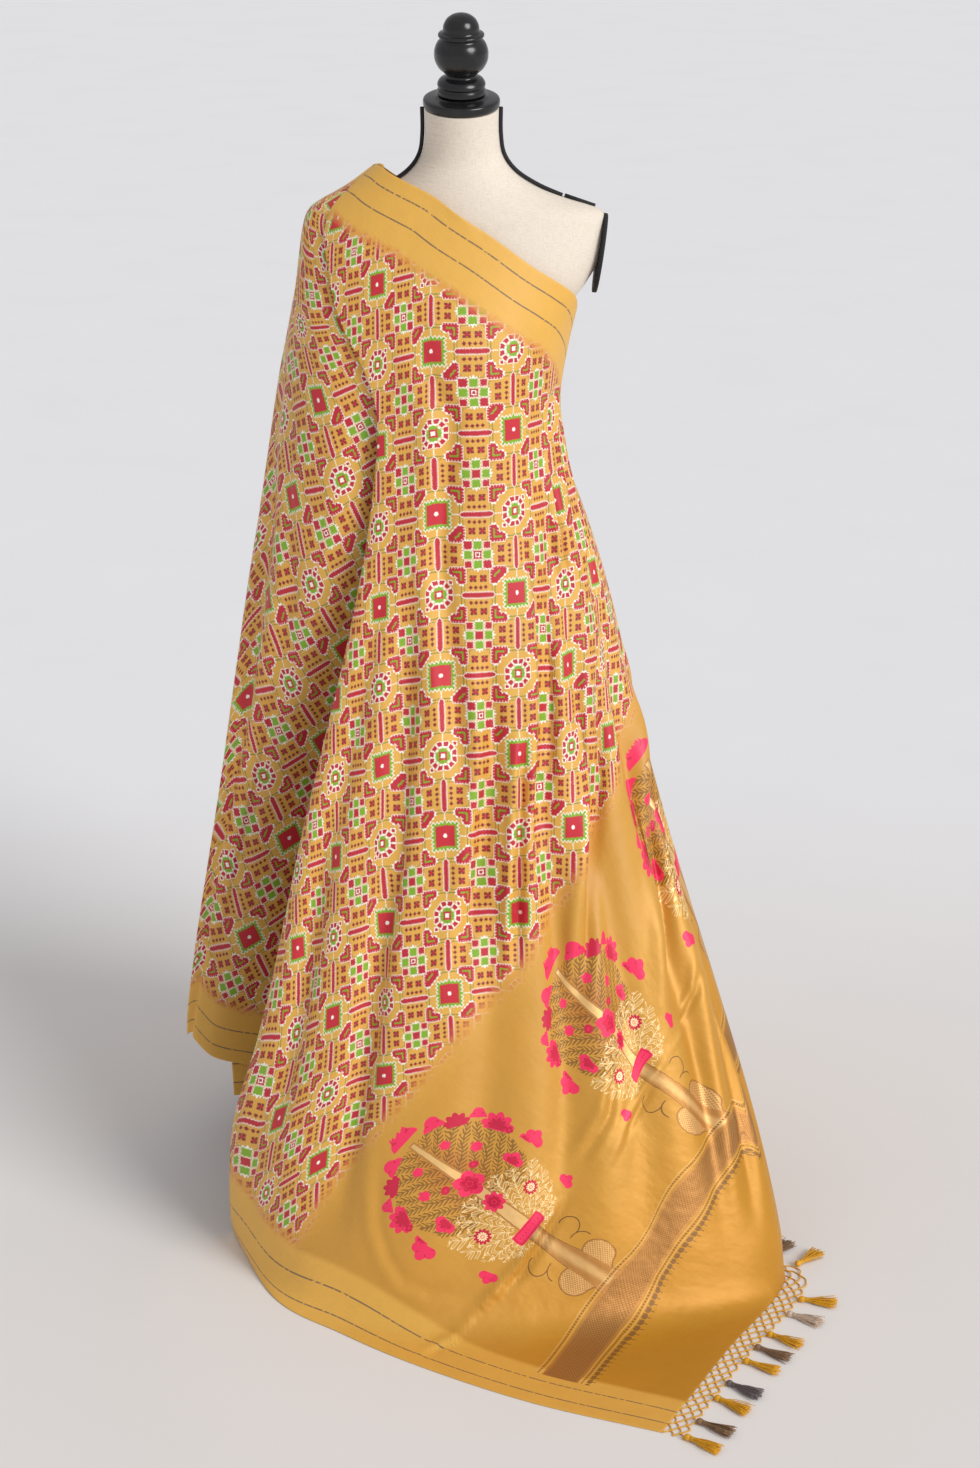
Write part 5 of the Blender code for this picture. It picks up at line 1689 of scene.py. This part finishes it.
def build_tassel(name, seat, out, number, item):
    """A bound head with a skirt of loose threads, lying on the floor."""
    chance = Random(100 + number)
    # The solid draws two numbers for each strand before its swing, so both swing alike.
    for _ in range(2 * STRANDS):
        chance.random()
    swing = math.radians(chance.uniform(-SWING, SWING))
    skirt = tube(name, tassel_paths(chance), THREAD_RADIUS, 4, item)
    shape = bmesh.new()
    shape.from_mesh(skirt.data)
    radius = TASSEL_HEAD_RADIUS * 0.72
    profile = [
        (0.0006, radius * 1.15), (radius * 0.55, radius * 0.95), (radius * 0.92, radius * 0.45),
        (radius, -radius * 0.1), (radius * 0.86, -radius * 0.62), (radius * 0.62, -radius * 0.95),
    ]
    for turn in range(BINDING_TURNS):
        level = -radius * 0.95 - BINDING_PITCH * turn
        profile += [(radius * 0.70, level - 0.00018), (radius * 0.62, level - 0.0006)]
    profile = profile[::-1]
    head = bpy.data.meshes.new("head")
    head.from_pydata(lathe_points(profile, 16), [], ring_faces(len(profile), 16))
    shape.from_mesh(head)
    shape.to_mesh(skirt.data)
    shape.free()
    bpy.data.meshes.remove(head)
    skirt.data.shade_smooth()
    way_out = Matrix.Rotation(swing, 3, "Z") @ out
    rotation = (-way_out).to_track_quat("Z", "Y").to_matrix().to_4x4()
    lift = Vector((0.0, 0.0, TASSEL_LIFT))
    skirt.data.transform(Matrix.Translation(seat + lift) @ rotation)
    low = min(vertex.co.z for vertex in skirt.data.vertices)
    skirt.data.transform(Matrix.Translation((0.0, 0.0, FLOOR_CLEARANCE - low)))
    return skirt


def build_tassels(items):
    """Tassels an equal way apart along the net, their threads taken in turn."""
    count = round(pallu_length() / TASSEL_PITCH)
    cells, place = net_stations()
    made = []
    for number in range(count + 1):
        station = 2 * round(cells * number / count)
        seat = place(station, NET_START + NET_WIDTH + TASSEL_SEAT)
        out = (seat - place(station, 0.0)).normalized()
        item = items[number % len(items)]
        made.append(build_tassel(f"tassel_threads_{number + 1:02d}", seat, out, number, item))
    return made


def build_stage():
    """A pale floor that runs on to the horizon, a shade cooler behind the form."""
    made, tree = new_material("studio paper")
    place = tree.nodes.new("ShaderNodeTexCoord")
    grain = tree.nodes.new("ShaderNodeTexNoise")
    grain.inputs["Scale"].default_value = 3.0
    tree.links.new(place.outputs["Object"], grain.inputs["Vector"])
    split = tree.nodes.new("ShaderNodeSeparateXYZ")
    tree.links.new(place.outputs["Object"], split.inputs[0])
    back = Value(tree, split.outputs[1]).ramp(*FLOOR_CHANGE)
    paint = Paint(tree, FLOOR_PAPER).over(WALL_PAPER, back)
    paint = paint.over(PAPER_SHADE, Value(tree, grain.outputs[0]).ramp(0.3, 0.9) * 0.08)
    shader = tree.nodes["Principled BSDF"]
    tree.links.new(paint.colour, shader.inputs["Base Color"])
    shader.inputs["Roughness"].default_value = 0.95
    points = [(x * FLOOR_HALF, y * FLOOR_HALF, 0.0) for x, y in ((-1, -1), (1, -1), (1, 1), (-1, 1))]
    return mesh_object("studio_floor", points, [(0, 1, 2, 3)], made)


def build_lights_and_camera():
    """One soft sun, an even sky, and the camera at the photograph's angle."""
    sun = bpy.data.lights.new("key", "SUN")
    sun.energy = SUN_STRENGTH
    sun.angle = SUN_SPREAD
    made = add_object("key", sun)
    made.location = SUN_FROM
    made.rotation_euler = (-Vector(SUN_FROM)).to_track_quat("-Z", "Y").to_euler()
    world = bpy.data.worlds.new("studio")
    world.use_nodes = True
    world.node_tree.nodes["Background"].inputs[0].default_value = (*WORLD_COLOUR, 1.0)
    world.node_tree.nodes["Background"].inputs[1].default_value = WORLD_STRENGTH
    bpy.context.scene.world = world
    camera = bpy.data.cameras.new("camera")
    camera.lens = CAMERA_LENS
    made = add_object("camera", camera)
    made.location = CAMERA_PLACE
    made.rotation_euler = (CAMERA_PITCH, 0.0, 0.0)
    bpy.context.scene.camera = made
    bpy.context.scene.view_settings.view_transform = "Standard"


def dress(piece, slot_name, *nodes):
    """A piece that rides on the frame and stands for those CAD nodes."""
    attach(piece, "root")
    if nodes:
        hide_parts(*nodes)
    return piece


def build():
    """The whole scene: each piece is built, then tied to the frame."""
    silk = printed_silk()
    pallu = woven_pallu()
    linen = linen_material()
    black_cord = simple_material("black cord", BLACK, srgb(38, 37, 38), 0.75, 1500.0)
    wood = simple_material("black wood", BLACK, srgb(30, 29, 30), 0.22, 90.0, bump_depth=0.06)
    metal = simple_material("stand metal", STEEL, srgb(118, 118, 120), 0.38, 240.0, 1.0, 0.1)
    gold = simple_material("gold thread", THREAD_GOLD, srgb(196, 136, 14), 0.42, 900.0)
    silver = simple_material("silver thread", THREAD_SILVER, srgb(170, 146, 124), 0.42, 900.0)
    brown = simple_material("brown thread", THREAD_BROWN, srgb(104, 78, 54), 0.45, 900.0)
    grey = simple_material("grey thread", THREAD_GREY, srgb(76, 70, 72), 0.45, 900.0)

    front = dress(build_front([silk, pallu]), "printed_silk", "sari_front")
    fall = dress(build_fall([silk]), "printed_silk", "sari_shoulder_fall")
    back = dress(build_back([silk]), "printed_silk", "sari_back")
    inner = dress(build_inner_fold([silk]), "printed_silk", "sari_inner_fold")
    for piece in (front, fall, back, inner):
        cloth_area(piece) / WIDTH

    dress(build_torso(linen), "linen", "form_torso")
    for kind, build_one in (("arm_plate", build_arm_plate), ("piping", build_piping)):
        for side, word in ((-1, "left"), (1, "right")):
            piece = build_one(side, f"{kind}_{word}", black_cord)
            dress(piece, "black_piping", f"form_{kind}_{word}")
    dress(build_seam_end("piping_right_end", black_cord), "black_piping")
    cap, finial = build_cap_and_finial(wood)
    dress(cap, "black_wood", "form_neck_cap")
    dress(finial, "black_wood", "form_finial")
    for name in ("form_pole", "form_base"):
        NODES[name].data.materials.clear()
        NODES[name].data.materials.append(metal)
    cords, knots = build_net(gold)
    dress(cords, "silk_thread", "pallu_net")
    dress(knots, "silk_thread", "pallu_net")
    thread_order = [gold, brown, gold, grey, gold, brown, gold, silver, gold]
    for number, piece in enumerate(build_tassels(thread_order)):
        dress(piece, "silk_thread", f"tassel_{number + 1:02d}")
    build_stage()
    build_lights_and_camera()


build()
